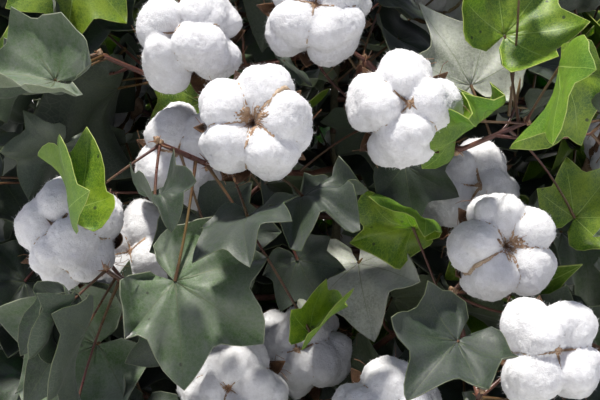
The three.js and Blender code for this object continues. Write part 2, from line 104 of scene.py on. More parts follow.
def make_camera():
    camera = add_object("camera", bpy.data.cameras.new("camera"))
    camera.data.sensor_width = SENSOR_WIDTH
    camera.data.lens = SENSOR_WIDTH * VIEW_DISTANCE / VIEW_WIDTH
    camera.location = VIEW_AIM + VIEW_BACK * VIEW_DISTANCE
    camera.rotation_mode = "QUATERNION"
    camera.rotation_quaternion = (-VIEW_BACK).to_track_quat("-Z", "Y")
    bpy.context.scene.camera = camera


SUN_FROM = Vector((-0.15, -0.09, 0.98)).normalized()
SUN_STRENGTH = 5.9
SUN_SIZE = math.radians(4)
SUN_COLOUR = (1.0, 0.965, 0.90)
SKY_COLOUR = (0.70, 0.75, 1.0, 1)
SKY_STRENGTH = 0.46
FLOOR_HALF = 30.0
FLOOR_COLOUR = (0.62, 0.62, 0.60, 1)


def make_light():
    sun = add_object("sun", bpy.data.lights.new("sun", "SUN"))
    sun.data.energy = SUN_STRENGTH
    sun.data.angle = SUN_SIZE
    sun.data.color = SUN_COLOUR
    sun.rotation_mode = "QUATERNION"
    sun.rotation_quaternion = SUN_FROM.to_track_quat("Z", "Y")
    world = bpy.data.worlds.new("pale sky")
    world.use_nodes = True
    sky = world.node_tree.nodes["Background"]
    sky.inputs["Color"].default_value = SKY_COLOUR
    sky.inputs["Strength"].default_value = SKY_STRENGTH
    bpy.context.scene.world = world
    bpy.context.scene.view_settings.view_transform = "Standard"


def make_floor():
    mesh = bpy.data.meshes.new("floor")
    corners = [(-1, -1), (1, -1), (1, 1), (-1, 1)]
    mesh.from_pydata([(x * FLOOR_HALF, y * FLOOR_HALF, 0) for x, y in corners], [], [(0, 1, 2, 3)])
    pale = bpy.data.materials.new("pale floor")
    pale.use_nodes = True
    shader = pale.node_tree.nodes["Principled BSDF"]
    shader.inputs["Base Color"].default_value = FLOOR_COLOUR
    shader.inputs["Roughness"].default_value = 0.9
    mesh.materials.append(pale)
    add_object("floor", mesh)


make_camera()
make_light()
make_floor()
print("lens", round(bpy.context.scene.camera.data.lens, 1), "mm")

# %% [markdown]
# ## The plan of the plant
#
# Sizes are in millimetres here, as in the solids, and are made metres when a mesh is written. The
# main stem is a tapered line with a slight lean and sway. Each fruiting branch leaves it at a
# known height, and each of its bolls stands at a bearing round the stem, a reach and a height.

# %% Sizes of the stem and the branches
STEM_HEIGHT = 885
STEM_TOP_RADIUS = 2.4
STEM_FOOT_RADIUS = 8.5
FLARE_RADIUS = 5.5
FLARE_HEIGHT = 22
STEM_LEAN = (10, 14)
STEM_SWAY = 3.5
STEM_SWAY_LENGTH = 190
CROWN_CENTRE = 590
CROWN_REACH = 400
CROWN_HALF_HEIGHT = 490
JOINT_GAP = 0.35

BOUGH_ROOT_RADIUS = 3.6
TWIG_ROOT_RADIUS = 2.6
TWIG_TIP_RADIUS = 1.5
BOUGH_SHARE = 0.7
BOUGH_SAG = 9
BOUGH_STEPS = 3
NODE_BEHIND = 16
NODE_SWAY = 47
NODE_SWAY_CHANGE = 0.12
NODE_DROP = 29
TIP_LENGTH = 62
TIP_RISE = 25
TIP_TURN = 14
TWIG_START = 7

LOCK_COUNTS = (4, 5, 4, 4, 5)
BOLL_RADIUS = 47
BOLL_SEAT = 29
BOLL_CLEAR = 49
BOLL_RISE = 18
SUN_BEARING = -90
SUN_TURN = 0.75
FACE_ROOM = ((78, 40), (115, 36), (150, 30))
STALK_RADIUS = 1.7
STALK_BEHIND = 13

# For each branch: its height on the stem, its bolls as (bearing, reach, height), and the side to
# which its nodes stand where there is only one boll to tell it.
FRUIT_MAP = (
    (250, ((-156, 215, 350),), -1),
    (292, ((14, 235, 385),), 1),
    (334, ((122, 205, 450), (106, 275, 425)), None),
    (376, ((-77, 195, 479),), 1),
    (416, ((-110, 80, 497), (-117, 186, 492)), None),
    (456, ((-51, 222, 616), (-57, 304, 552)), None),
    (496, ((59, 80, 562), (84, 190, 610)), None),
    (534, ((-149, 194, 593), (-140, 281, 630)), None),
    (570, ((-33, 142, 645), (-8, 265, 665)), None),
    (604, ((-136, 172, 682), (160, 225, 705)), None),
    (650, ((-105, 244, 730),), -1),
    (684, ((-96, 152, 808), (-75, 212, 736)), None),
    (714, ((-17, 300, 760),), 1),
    (742, ((41, 115, 800), (62, 195, 870)), None),
    (768, ((-127, 197, 786),), -1),
    (792, ((135, 185, 830), (152, 270, 860)), None),
)
print("branches", len(FRUIT_MAP), "bolls", sum(len(row[1]) for row in FRUIT_MAP))

# %% [markdown]
# Anything random on the plant comes from one small generator of numbers. It gives the same draws
# for the same seeds, so each leaf of the solids can be grown again exactly where it stands.


# %% Seeded draws and small helpers
class Draws:
    def __init__(self, *seeds):
        self.state = 2166136261
        for seed in seeds:
            self.state = ((self.state ^ seed) * 16777619) & 0xFFFFFFFF
        for _ in range(4):
            self.next()

    def next(self):
        self.state = (self.state * 1664525 + 1013904223) & 0xFFFFFFFF
        return self.state / 4294967296

    def between(self, low, high):
        return low + (high - low) * self.next()

    def pick(self, choices):
        return choices[int(self.next() * len(choices))]


UP = np.array((0.0, 0.0, 1.0))


def heading(bearing, rise):
    b = math.radians(bearing)
    r = math.radians(rise)
    return np.array((math.cos(b) * math.cos(r), math.sin(b) * math.cos(r), math.sin(r)))


def headings(bearings, polars):
    """Directions by bearing and by degrees from straight up."""
    return np.array([heading(b, 90 - p) for b, p in zip(bearings, polars)])


def wrapped(angle):
    return angle - 360 * round(angle / 360)


def bearing_of(v):
    return math.degrees(math.atan2(v[1], v[0]))


def unit(v):
    return v / np.linalg.norm(v)


def along(a, b, t):
    return a + (b - a) * t


print("a first draw for seed 1:", round(Draws(1).next(), 4))

# %% [markdown]
# ## Lines of the stem, branches and stalks
#
# Every woody part is first only a line with a thickness. It could be modelled as a tube at once,
# but the same lines also serve to test whether a leaf has room, so the bark is laid along them
# only when everything has grown.


# %% The stem and the fruiting branches as lines
def stem_centre(z):
    share = z / STEM_HEIGHT
    sway = STEM_SWAY * math.sin(2 * math.pi * z / STEM_SWAY_LENGTH) * min(1, share * 4)
    return np.array((STEM_LEAN[0] * share**2 + sway, STEM_LEAN[1] * share**2 - sway * 0.6, z))


def stem_radius(z):
    taper = STEM_FOOT_RADIUS + (STEM_TOP_RADIUS - STEM_FOOT_RADIUS) * (z / STEM_HEIGHT) ** 0.85
    return taper + FLARE_RADIUS * math.exp(-z / FLARE_HEIGHT)


class Branch:
    """One fruiting branch: its bolls, the nodes that carry them, and its lines."""

    def __init__(self, number, stem_height, bolls, hand):
        self.number = number
        self.stem_height = stem_height
        self.root = stem_centre(stem_height) + heading(bolls[0][0], 0) * stem_radius(stem_height) * 0.3
        self.hand = hand or math.copysign(1, wrapped(bolls[-1][0] - bolls[0][0]))
        self.nodes = []
        self.bolls = []
        for j, (bearing, reach, height) in enumerate(bolls):
            self.add_boll(j, bearing, reach, height)
        before = self.nodes[-2] if len(self.nodes) > 1 else self.root
        tip_bearing = bearing_of(self.nodes[-1] - before) + self.hand * TIP_TURN
        self.tip = self.nodes[-1] + heading(tip_bearing, TIP_RISE) * TIP_LENGTH
        self.bough_end = along(self.root, self.nodes[0], BOUGH_SHARE)

    def add_boll(self, j, bearing, reach, height):
        centre = heading(bearing, 0) * reach + UP * height
        off_sun = wrapped(SUN_BEARING - bearing)
        turn = off_sun * SUN_TURN if abs(off_sun) < 80 else 0
        axis = heading(bearing + turn, BOLL_RISE)
        swing = self.hand * NODE_SWAY * (1 + NODE_SWAY_CHANGE * (1 if j % 2 else -1))
        seat = centre - axis * BOLL_SEAT
        aside = heading(bearing + 90, 0) * swing
        self.nodes.append(seat - axis * NODE_BEHIND + aside - UP * NODE_DROP)
        locks = LOCK_COUNTS[(self.number + j) % len(LOCK_COUNTS)]
        self.bolls.append({"centre": centre, "axis": axis, "seat": seat, "locks": locks})

    def bough_line(self):
        shares = [i / BOUGH_STEPS for i in range(BOUGH_STEPS + 1)]
        sag = [BOUGH_SAG * math.sin(math.pi * t) * (1 - t * 0.6) for t in shares]
        return [along(self.root, self.bough_end, t) - UP * s for t, s in zip(shares, sag)]

    def twig_line(self):
        line = self.bough_line()
        run = unit(line[-1] - line[-2])
        return [line[-1] + run * JOINT_GAP, line[-1] + run * TWIG_START, *self.nodes, self.tip]

    def stalk_line(self, j):
        seat, axis = self.bolls[j]["seat"], self.bolls[j]["axis"]
        return [self.nodes[j], seat - axis * STALK_BEHIND, seat - axis * JOINT_GAP]


branches = [Branch(i + 1, *row) for i, row in enumerate(FRUIT_MAP)]
bolls = [boll for branch in branches for boll in branch.bolls]


def top_line():
    start = stem_centre(STEM_HEIGHT)
    start[2] += JOINT_GAP
    return [start, start + UP * 38 + np.array((5, -3, 0)), start + UP * 85 + np.array((2, -8, 0))]


top_shoot = top_line()
print("first branch leaves the stem at", branches[0].root.round(1))

# %% [markdown]
# ## Where the leaves grow
#
# A leaf is a stalk and a blade. The rule tries a bearing, a rise and a reach for the stalk, and a
# slant for the blade, and keeps the first draw that stands clear of the bolls, the limbs and the
# leaves that are there already. First the leaves of the solids are grown again, then the same rule
# goes on with finer twigs and closer leaves inside the same reach.

# %% Sizes of a leaf
LEAF_SHARPEST = -0.3
LEAF_STALK_RADIUS = 1.2
LEAF_TRIES = 100
LEAF_GAP = 5.5
LEAF_SPAN = 0.69
SAMPLE_STEP = 10
SHOWN_TRIES = 120
SHOWN_WOBBLE = 0.35
SHOWN_DROOP = 0.15
LEAF_OUTLINE = ((0, 1.0), (24, 0.6), (50, 0.82), (92, 0.5), (138, 0.47))
LEAF_MIDDLE = 0.33

# The leaves that show most from the front: the branch, the place on its twig (segment, share), the
# joint (bearing, reach, height), the blade (bearing, pitch, roll) and the length, and the finish
# and form that the leaf shows.
# A dark finish is painted shade, a silvery one a painted highlight, and a bright one partly painted
# backlight.
SHOWN_LEAVES = (
    (11, (1, 0.3), (-118, 270, 605), (-15, -30, 55), 110, "grey", "wavy"),
    (11, (1, 0.95), (-130, 320, 665), (125, 55, 15), 70, "bright", "folded"),
    (11, (1, 0.6), (-121, 210, 640), (-20, -55, 65), 80, "dark", "flat"),
    (6, (0, 0.7), (-65, 158, 626), (-178, 22, -140), 85, "bright", "curled"),
    (15, (1, 0.95), (-139, 300, 745), (165, 5, -55), 90, "grey", "folded"),
    (15, (0, 0.15), (-152, 130, 720), (175, -20, -75), 65, "bright", "flat"),
    (12, (2, 0.5), (-47, 170, 745), (150, 50, -35), 90, "silver", "wavy"),
    (12, (2, 0.9), (-47, 205, 790), (40, 40, 50), 85, "bright", "wavy"),
    (12, (2, 1), (-51, 275, 775), (-165, -70, -130), 100, "bright", "folded"),
    (12, (1, 0.6), (-69, 132, 655), (-15, -45, 75), 60, "dark", "flat"),
    (12, (2, 0.75), (-30, 240, 630), (25, 45, 60), 65, "bright", "flat"),
    (9, (0, 0.1), (-65, 95, 580), (-70, -20, 15), 90, "silver", "wavy"),
    (11, (1, 0.1), (-103, 185, 585), (75, 68, 15), 68, "bright", "folded"),
    (8, (1, 0.4), (-138, 255, 550), (-170, -30, -55), 100, "grey", "wavy"),
    (8, (2, 0.9), (-128, 245, 560), (165, -50, -95), 60, "dark", "flat"),
    (11, (0, 0.1), (-101, 145, 595), (-20, -55, 70), 75, "dark", "flat"),
    (4, (1, 0.8), (-44, 160, 495), (-165, 0, -25), 65, "grey", "wavy"),
    (16, (2, 0.75), (-162, 230, 840), (-110, -65, -25), 80, "bright", "flat"),
)


# Leaves of the solids that are drawn smaller, since at full size they would hide a boll or keep
# the sun or the view from a shown leaf: the leaf's place in the order of growth, and its share.
DRAWN_SMALLER = {0: 0.88, 3: 0.75, 8: 0.85, 12: 0.8, 15: 0.7, 28: 0.7, 56: 0.7, 59: 0.42, 72: 0.7, 74: 0.4}
print("leaves shown in front", len(SHOWN_LEAVES), "and drawn smaller", len(DRAWN_SMALLER))

# %% [markdown]
# To find out whether a leaf has room, its real blade with all its folds would be slow to test and
# isn't known yet. So a leaf is first a shallow cone round its middle: the distance from any point
# to it is one formula, and points spread over its outline stand for the blade itself.


# %% A leaf as a stalk and a shallow cone
class Leaf:
    """A leaf's stalk root, its joint with the blade, and the blade's own directions."""

    def __init__(self, root, joint, bearing, pitch, roll, length, droop):
        self.root = root
        self.joint = joint
        self.midrib = heading(bearing, pitch)
        level = heading(bearing + 90, 0)
        flat_up = np.cross(self.midrib, level)
        tilt = math.radians(roll)
        self.across = level * math.cos(tilt) + flat_up * math.sin(tilt)
        self.face = np.cross(self.midrib, self.across)
        self.length = length
        self.droop = droop
        self.middle = self.joint + self.midrib * LEAF_MIDDLE * self.length

    def place(self, x, y, z):
        return self.joint + np.outer(x, self.midrib) + np.outer(y, self.across) + np.outer(z, self.face)

    def rise(self, x, y):
        return self.droop * (LEAF_MIDDLE * self.length - np.hypot(x - LEAF_MIDDLE * self.length, y))

    def distance(self, points, span=LEAF_SPAN):
        d = points - self.joint
        x = d @ self.midrib
        y = d @ self.across
        beyond = np.maximum(0, np.hypot(x - LEAF_MIDDLE * self.length, y) - span * self.length)
        return np.hypot(d @ self.face - self.rise(x, y), beyond)

    def samples(self):
        x, y = sample_grid(self.length)
        return self.place(x, y, self.rise(x, y))


def leaf_outline(length):
    """The corners of a flat blade: one half, the joint, and the other half."""
    turned = [(math.radians(b), s * length) for b, s in LEAF_OUTLINE]
    half = [(r * math.cos(b), r * math.sin(b)) for b, r in turned]
    return half + [(0, 0)] + [(x, -y) for x, y in half[:0:-1]]


def sample_grid(length):
    """Points spread over a flat blade, along rays from its middle to its outline."""
    outline = leaf_outline(length)
    middle = LEAF_MIDDLE * length
    flat = []
    for i, (x, y) in enumerate(outline):
        u, v = outline[(i + 1) % len(outline)]
        rim = math.ceil(math.hypot(u - x, v - y) / SAMPLE_STEP)
        for k in range(rim):
            a, b = x + (u - x) * k / rim, y + (v - y) * k / rim
            for t in (1,) if k % 2 else (1, 0.8, 0.6, 0.4, 0.2):
                flat.append((middle + (a - middle) * t, b * t))
    return np.array(flat).T


print("points that stand for a blade of 100 mm:", sample_grid(100).shape[1])

# %% [markdown]
# What is already there is kept as plain points: the bolls' centres, the room in front of their
# open faces, points along every limb, and the leaves. A test is then a few distances. Finer leaves
# may stand closer to each other, and keep the light's way and the view to the bolls open as well.

# %% What a new leaf keeps clear of
FINE_GAP = 1.8
FINE_SPAN = 0.46
FINE_MARGIN = 0.8
BLADE_MARGIN = 3
STALK_MARGIN = 3.5
LIMB_STEP = 6
BOX_ROOM = 4
BOX_LOW = np.array(cad_box[0]) / MM - BOX_ROOM
BOX_HIGH = np.array(cad_box[1]) / MM + BOX_ROOM


def in_crown(points):
    out = np.hypot(points[:, 0], points[:, 1]) / CROWN_REACH
    return bool((np.hypot(out, (points[:, 2] - CROWN_CENTRE) / CROWN_HALF_HEIGHT) < 1).all())


def in_box(points):
    return bool((points > BOX_LOW).all() and (points < BOX_HIGH).all())


def distances(points, others):
    """From each point to each of the others."""
    return np.linalg.norm(points[:, None] - others, axis=2)


def near(points, centre, reach):
    return ((points - centre) ** 2).sum(axis=1) < reach * reach


class Taken:
    def __init__(self):
        self.balls = np.zeros((0, 3))
        self.rooms = np.zeros((0, 4))
        self.open_rooms = np.zeros((0, 4))
        self.limbs = np.zeros((0, 4))
        self.leaves = []
        self.middles = np.zeros((0, 3))
        self.samples = []

    def add_limb(self, points, radius):
        rows = []
        for a, b in zip(points, points[1:]):
            steps = math.ceil(np.linalg.norm(b - a) / LIMB_STEP)
            rows += [(*along(a, b, k / steps), radius) for k in range(steps + 1)]
        self.limbs = np.vstack([self.limbs, rows])

    def add_leaf(self, leaf):
        self.leaves.append(leaf)
        self.middles = np.vstack([self.middles, leaf.middle])
        self.samples.append(leaf.samples())
        self.add_limb([leaf.root, leaf.joint], LEAF_STALK_RADIUS)

    def blade_is_clear(self, leaf, shown, fine):
        if leaf.distance(self.balls).min() < BOLL_CLEAR + 2:
            return False
        rooms = self.rooms[:0] if shown else self.open_rooms if fine else self.rooms
        if (leaf.distance(rooms[:, :3]) < rooms[:, 3]).any():
            return False
        samples = leaf.samples()
        if not in_crown(samples) or (fine and not in_box(samples)):
            return False
        span = FINE_SPAN if fine else LEAF_SPAN
        margin = FINE_MARGIN if fine else BLADE_MARGIN
        limbs = self.limbs[near(self.limbs[:, :3], leaf.middle, leaf.length * 0.8 + 20)]
        if (leaf.distance(limbs[:, :3], span) < limbs[:, 3] + margin).any():
            return False
        gap = FINE_GAP if fine else LEAF_GAP
        for i in np.flatnonzero(near(self.middles, leaf.middle, leaf.length * 0.8 + 120)):
            other = self.leaves[i]
            reach = 0.8 * (leaf.length + other.length) + 10
            if np.linalg.norm(other.middle - leaf.middle) > reach:
                continue
            if other.distance(samples, span).min() < gap:
                return False
            if leaf.distance(self.samples[i], span).min() < gap:
                return False
        return True

    def stalk_is_clear(self, leaf, fine):
        points = leaf.root + (leaf.joint - leaf.root) * np.arange(3, 15)[:, None] / 14
        if distances(points, self.balls).min() < BOLL_CLEAR + 3:
            return False
        middle = along(leaf.root, leaf.joint, 0.5)
        reach = np.linalg.norm(leaf.joint - leaf.root) * 0.5 + 20
        limbs = self.limbs[near(self.limbs[:, :3], middle, reach)]
        margin = FINE_MARGIN if fine else STALK_MARGIN
        if (distances(points, limbs[:, :3]) < limbs[:, 3] + margin).any():
            return False
        if fine and self.in_open_room(points):
            return False
        gap, span = (FINE_GAP, FINE_SPAN) if fine else (LEAF_GAP, LEAF_SPAN)
        close = np.flatnonzero(near(self.middles, middle, reach + 90))
        return not any(self.leaves[i].distance(points, span).min() < gap for i in close)

    def in_open_room(self, points):
        away = distances(points, self.open_rooms[:, :3])
        return bool((away < self.open_rooms[:, 3] * 0.9).any())

    def is_clear(self, leaf, shown=False, fine=False):
        return self.blade_is_clear(leaf, shown, fine) and self.stalk_is_clear(leaf, fine)


print("a finer leaf keeps", FINE_GAP, "mm from other leaves, a leaf of the solids", LEAF_GAP, "mm")

# %% [markdown]
# The bolls and the wood are there before any leaf. A boll counts as a ball with a cone of free
# room in front of its open face, and each limb as a row of points with its thickness.

# %% The bolls and the limbs that are there already
taken = Taken()
for branch in branches:
    for boll in branch.bolls:
        taken.balls = np.vstack([taken.balls, boll["centre"]])
        ahead = [(*(boll["centre"] + boll["axis"] * reach), room) for reach, room in FACE_ROOM]
        taken.rooms = np.vstack([taken.rooms, ahead])
    taken.add_limb(branch.bough_line(), BOUGH_ROOT_RADIUS)
    taken.add_limb(branch.twig_line(), TWIG_ROOT_RADIUS)
    for j in range(len(branch.bolls)):
        taken.add_limb(branch.stalk_line(j)[:2], STALK_RADIUS)
taken.add_limb([stem_centre(STEM_HEIGHT * i / 19) for i in range(20)], STEM_FOOT_RADIUS * 0.8)
taken.add_limb(top_shoot, TWIG_ROOT_RADIUS)
print("limb points", len(taken.limbs))

# %% [markdown]
# A station is a point on a twig with the rule for the leaf that grows there: how far it may turn
# from straight out, how steeply its stalk rises, how long its stalk is and how long its blade.

# %% Grow the leaves of the solids again
INNER = {"spread": 130, "rise": (-20, 80), "stalk": 105, "length": 112}
OUTER = {"spread": 100, "rise": (-30, 70), "stalk": 88, "length": 105}
SMALL = {"spread": 110, "rise": (-35, 75), "stalk": 64, "length": 86}
TOP = {"spread": 180, "rise": (-5, 75), "stalk": 70, "length": 88}


def branch_stations(branch):
    line = branch.twig_line()[1:]
    last = len(line) - 2
    slots = [
        (0, 0.15, INNER), (last, 0.06, OUTER), (last, 0.97, SMALL),
        (0, 0.55, INNER), (last, 0.5, OUTER), (0, 0.9, INNER),
        (last, 0.88, SMALL), (0, 0.35, INNER), (last, 0.25, OUTER),
    ]
    if last > 1:
        slots += [(1, 0.5, OUTER), (1, 0.15, INNER)]
    return [(along(line[i], line[i + 1], t), rule) for i, t, rule in slots]


def top_stations():
    shares = (0.12, 0.42, 0.55, 0.7, 0.8, 0.9, 1, 0.22, 0.32, 0.62, 0.86)
    low, middle, tip = top_shoot
    points = [along(low, middle, t * 2) if t < 0.5 else along(middle, tip, t * 2 - 1) for t in shares]
    return [(p, TOP) for p in points]


def grow_leaf(station, seeds, tries=LEAF_TRIES, fine=False):
    point, rule = station
    draws = Draws(*seeds)
    outward = bearing_of(point)
    for attempt in range(tries):
        bearing = outward + draws.between(-1, 1) * rule["spread"]
        rise = draws.between(*rule["rise"])
        reach = draws.between(0.45, 1) * rule["stalk"]
        length = rule["length"] * draws.between(0.85, 1.1) * (0.8 if attempt > tries / 2 else 1)
        blade_bearing = bearing + draws.between(-35, 35)
        pitch = draws.between(-70, 10)
        roll = draws.between(-40, 40)
        droop = draws.between(0.08, 0.3)
        stalk = heading(bearing, rise)
        leaf = Leaf(point, point + stalk * reach, blade_bearing, pitch, roll, length, droop)
        if leaf.midrib @ stalk >= LEAF_SHARPEST and taken.is_clear(leaf, fine=fine):
            return leaf
    return None


def grow_shown(branch, at, joint, blade, length, seeds):
    line = branch.twig_line()[1:]
    draws = Draws(*seeds)
    root = along(line[at[0]], line[at[0] + 1], at[1])
    shown = heading(joint[0], 0) * joint[1] + UP * joint[2]
    for attempt in range(SHOWN_TRIES):
        wobbles = [draws.between(-1, 1) * attempt * SHOWN_WOBBLE for _ in range(6)]
        moved = shown + np.array(wobbles[:3])
        bearing, pitch, roll = (angle + w for angle, w in zip(blade, wobbles[3:]))
        leaf = Leaf(root, moved, bearing, pitch, roll, length, SHOWN_DROOP)
        if leaf.midrib @ unit(moved - root) < LEAF_SHARPEST * 2:
            continue
        if taken.is_clear(leaf, shown=True):
            return leaf
    return None


def keep_leaf(leaf, finish=None, form=None):
    """A finish and a form that aren't given are dealt out later."""
    leaf.finish = finish
    leaf.form = form
    leaf.share = DRAWN_SMALLER.get(len(taken.leaves), 1)
    taken.add_leaf(leaf)


for i, (number, at, joint, blade, length, finish, form) in enumerate(SHOWN_LEAVES):
    leaf = grow_shown(branches[number - 1], at, joint, blade, length, (97, i + 1))
    if leaf:
        keep_leaf(leaf, finish, form)
shown_count = len(taken.leaves)

stations = [branch_stations(branch) for branch in branches] + [top_stations()]
for slot in range(max(len(row) for row in stations)):
    for mass, row in enumerate(stations):
        leaf = grow_leaf(row[slot], (mass + 1, slot + 1)) if slot < len(row) else None
        if leaf:
            keep_leaf(leaf)
solid_count = len(taken.leaves)
print("shown leaves", shown_count, "of", len(SHOWN_LEAVES), "and leaves of the solids", solid_count)

# %% [markdown]
# The solids stop at about 130 leaves, and the real plant has several times as many. The main stem
# carries leaves on long stalks in a spiral, and finer side twigs fill the crown between the
# branches. No finer leaf may grow into the sunlight or the view of the bolls and the shown leaves,
# so a row of balls of free room is set from each of them towards the camera and the sun.

# %% Rooms that finer growth keeps open
ROOM_REACHES = (70, 110, 150, 190, 240, 300)
LIMB_ROOM = 11
SHOWN_TWIGS = (4, 6, 9, 11, 12, 15)
VIEW_ROOM = 34
SUN_ROOM = 26


def keep_open(centre, direction, room):
    balls = [(*(centre + direction * reach), room) for reach in ROOM_REACHES]
    taken.open_rooms = np.vstack([taken.open_rooms, balls])


def front_of(point):
    return point[1] < -40 and 380 < point[2] < 860


to_view = np.array(VIEW_BACK)
to_sun = np.array(SUN_FROM)
taken.open_rooms = taken.rooms
for boll in bolls:
    if front_of(boll["centre"]):
        keep_open(boll["centre"], to_view, VIEW_ROOM)
        keep_open(boll["centre"], to_sun, SUN_ROOM)
for leaf in taken.leaves[:shown_count]:
    keep_open(leaf.middle, to_view, leaf.length * 0.32)
    keep_open(leaf.middle, to_sun, leaf.length * 0.24)
    for share in (0.3, 0.7):
        keep_open(along(leaf.root, leaf.joint, share), to_view, LIMB_ROOM)
shown_limbs = [stem_centre(z) for z in range(590, 790, 20)]
for number in SHOWN_TWIGS:
    line = branches[number - 1].twig_line()
    shown_limbs += [along(a, b, t) for a, b in zip(line, line[1:]) for t in (0.25, 0.5, 0.75, 1)]
for point in shown_limbs:
    keep_open(point, to_view, LIMB_ROOM)
print("balls of free room", len(taken.open_rooms))

# %% [markdown]
# A side twig is a straight draw from a node of the branch. It is kept where it misses all that is
# there, and it grows leaves from its tip inwards, so none ends bare.

# %% Grow the side twigs
SIDE_RULE = {"spread": 150, "rise": (-45, 80), "stalk": 60, "length": 84}
SIDE_TWIG_TRIES = 30
SIDE_TWIG_SPREAD = 95
SIDE_TWIG_RISE = (-30, 55)
SIDE_TWIG_LENGTH = (50, 95)
SIDE_TWIG_RADIUS = 1.3
FINE_TRIES = 26
side_twigs = []


def grow_side_twig(root, seeds):
    draws = Draws(*seeds)
    outward = bearing_of(root)
    for _ in range(SIDE_TWIG_TRIES):
        bearing = outward + draws.between(-SIDE_TWIG_SPREAD, SIDE_TWIG_SPREAD)
        run = heading(bearing, draws.between(*SIDE_TWIG_RISE))
        tip = root + run * draws.between(*SIDE_TWIG_LENGTH)
        points = np.array([along(root, tip, t) for t in np.linspace(0.15, 1, 12)])
        limbs = taken.limbs[near(taken.limbs[:, :3], along(root, tip, 0.5), 75)]
        away = distances(points, limbs[:, :3])
        if distances(points, taken.balls).min() < BOLL_CLEAR + 4:
            continue
        if (away < limbs[:, 3] + 2.5).any() or not in_crown(points * (1.08, 1.08, 1)):
            continue
        if any(leaf.distance(points, FINE_SPAN).min() < FINE_GAP for leaf in taken.leaves):
            continue
        if taken.in_open_room(points):
            continue
        taken.add_limb([root, tip], SIDE_TWIG_RADIUS)
        return root, tip
    return None


def clothe_side_twig(root, tip, seeds):
    """The twig ends at its outermost leaf, or isn't there without one."""
    reached = 0
    for s, share in enumerate((1.0, 0.66, 0.33)):
        leaf = grow_leaf((along(root, tip, share), SIDE_RULE), (*seeds, s), FINE_TRIES, fine=True)
        if leaf:
            keep_leaf(leaf)
            reached = max(reached, share)
    if reached:
        side_twigs.append((root, along(root, tip, reached)))


for branch in branches:
    bough_spot = along(*branch.bough_line()[2:4], 0.3)
    tip_spot = along(branch.nodes[-1], branch.tip, 0.55)
    for k, root in enumerate([bough_spot, *branch.nodes, tip_spot]):
        for turn in range(2):
            limbs_before = taken.limbs
            twigs_before = len(side_twigs)
            twig = grow_side_twig(root, (131, branch.number, k, turn))
            if twig:
                clothe_side_twig(*twig, (137, branch.number, k, turn))
            if len(side_twigs) == twigs_before:
                taken.limbs = limbs_before
print("side twigs", len(side_twigs), "leaves on them", len(taken.leaves) - solid_count)

# %% [markdown]
# Leaves on long stalks then fill the room along the boughs and round the main stem, where each
# stands a fixed turn on from the last, as on the real plant.

# %% Grow leaves along the boughs and the stem
STEM_RULE = {"spread": 75, "rise": (-10, 60), "stalk": 190, "length": 100}
BOUGH_RULE = {"spread": 150, "rise": (-40, 80), "stalk": 100, "length": 96}
BRANCH_SHARES = (0.2, 0.45, 0.7, 0.95)
SPIRAL_START = 180
SPIRAL_STEP = 135
STEM_LEAF_STEP = 9


def fine_stations():
    rows = []
    for branch in branches:
        lines = branch.bough_line()[1:] + branch.twig_line()[1:]
        places = [along(a, b, t) for a, b in zip(lines, lines[1:]) for t in BRANCH_SHARES]
        rows.append([(p, BOUGH_RULE) for p in places])
    heights = enumerate(range(SPIRAL_START, STEM_HEIGHT, STEM_LEAF_STEP))
    places = [stem_centre(z) + heading(SPIRAL_STEP * i, 0) * 2 for i, z in heights]
    rows.append([(p, STEM_RULE) for p in places])
    return rows


for r, row in enumerate(fine_stations()):
    for s, station in enumerate(row):
        for turn in range(2):
            leaf = grow_leaf(station, (151, r, s, turn), FINE_TRIES, fine=True)
            if leaf:
                keep_leaf(leaf)
print("leaves so far", len(taken.leaves))

# %% [markdown]
# The photo shows no sky through the crown: behind each gap stands another leaf, in deep shade.
# More leaves all over would fill the gaps as well, but would cost far more. So the crown is looked
# at from the camera and from all around, on a grid of cells, each open or covered.

# %% A view of the crown as a grid of cells
CAMERA_GRID = (290, 195, 9)
WITHIN_CROWN = (1.12, 1.12, 1.03)
NEAR_BY = 140
LEAF_COVER = 0.9


class Sight:
    """A grid of cells in the plane through the aim, each open or covered."""

    def __init__(self, back, distance, aim, half_width, half_height, cell, cover=LEAF_COVER):
        self.cover = cover
        self.back = unit(back)
        self.right = unit(np.cross(UP, self.back))
        self.up = np.cross(self.back, self.right)
        self.distance = distance
        self.eye = aim + self.back * distance
        x = np.arange(-half_width, half_width + 1, cell)
        y = np.arange(-half_height, half_height + 1, cell)
        self.x, self.y = (grid.ravel() for grid in np.meshgrid(x, y))
        spots = [self.point(i, 0)[None] * WITHIN_CROWN for i in range(len(self.x))]
        self.open = np.array([in_crown(spot) for spot in spots])

    def flat(self, points):
        away = points - self.eye
        scale = self.distance / -(away @ self.back)
        return (away @ self.right) * scale, (away @ self.up) * scale

    def point(self, i, depth):
        """The place behind a cell that lies depth in front of the plane."""
        share = (self.distance - depth) / self.distance
        side = self.right * self.x[i] + self.up * self.y[i]
        return self.eye - self.back * (self.distance - depth) + side * share

    def cover_leaf(self, leaf):
        outline = np.array(leaf_outline(1)) * leaf.length * self.cover
        u, v = self.flat(leaf.place(outline[:, 0], outline[:, 1], np.zeros(len(outline))))
        close = (abs(self.x - u.mean()) < NEAR_BY) & (abs(self.y - v.mean()) < NEAR_BY)
        near_by = np.flatnonzero(close & self.open)
        x, y = self.x[near_by], self.y[near_by]
        inside = np.zeros(len(near_by), dtype=bool)
        for a, b, c, d in zip(u, v, np.roll(u, -1), np.roll(v, -1)):
            crosses = (b > y) != (d > y)
            inside ^= crosses & (x < a + (y - b) * (c - a) / ((d - b) or 1e-9))
        self.open[near_by[inside]] = False

    def cover_ball(self, centre, radius):
        u, v = self.flat(centre[None])
        self.open &= np.hypot(self.x - u, self.y - v) > radius


def camera_sight(cover=LEAF_COVER):
    aim = np.array(VIEW_AIM) / MM
    return Sight(np.array(VIEW_BACK), VIEW_DISTANCE / MM, aim, *CAMERA_GRID, cover)


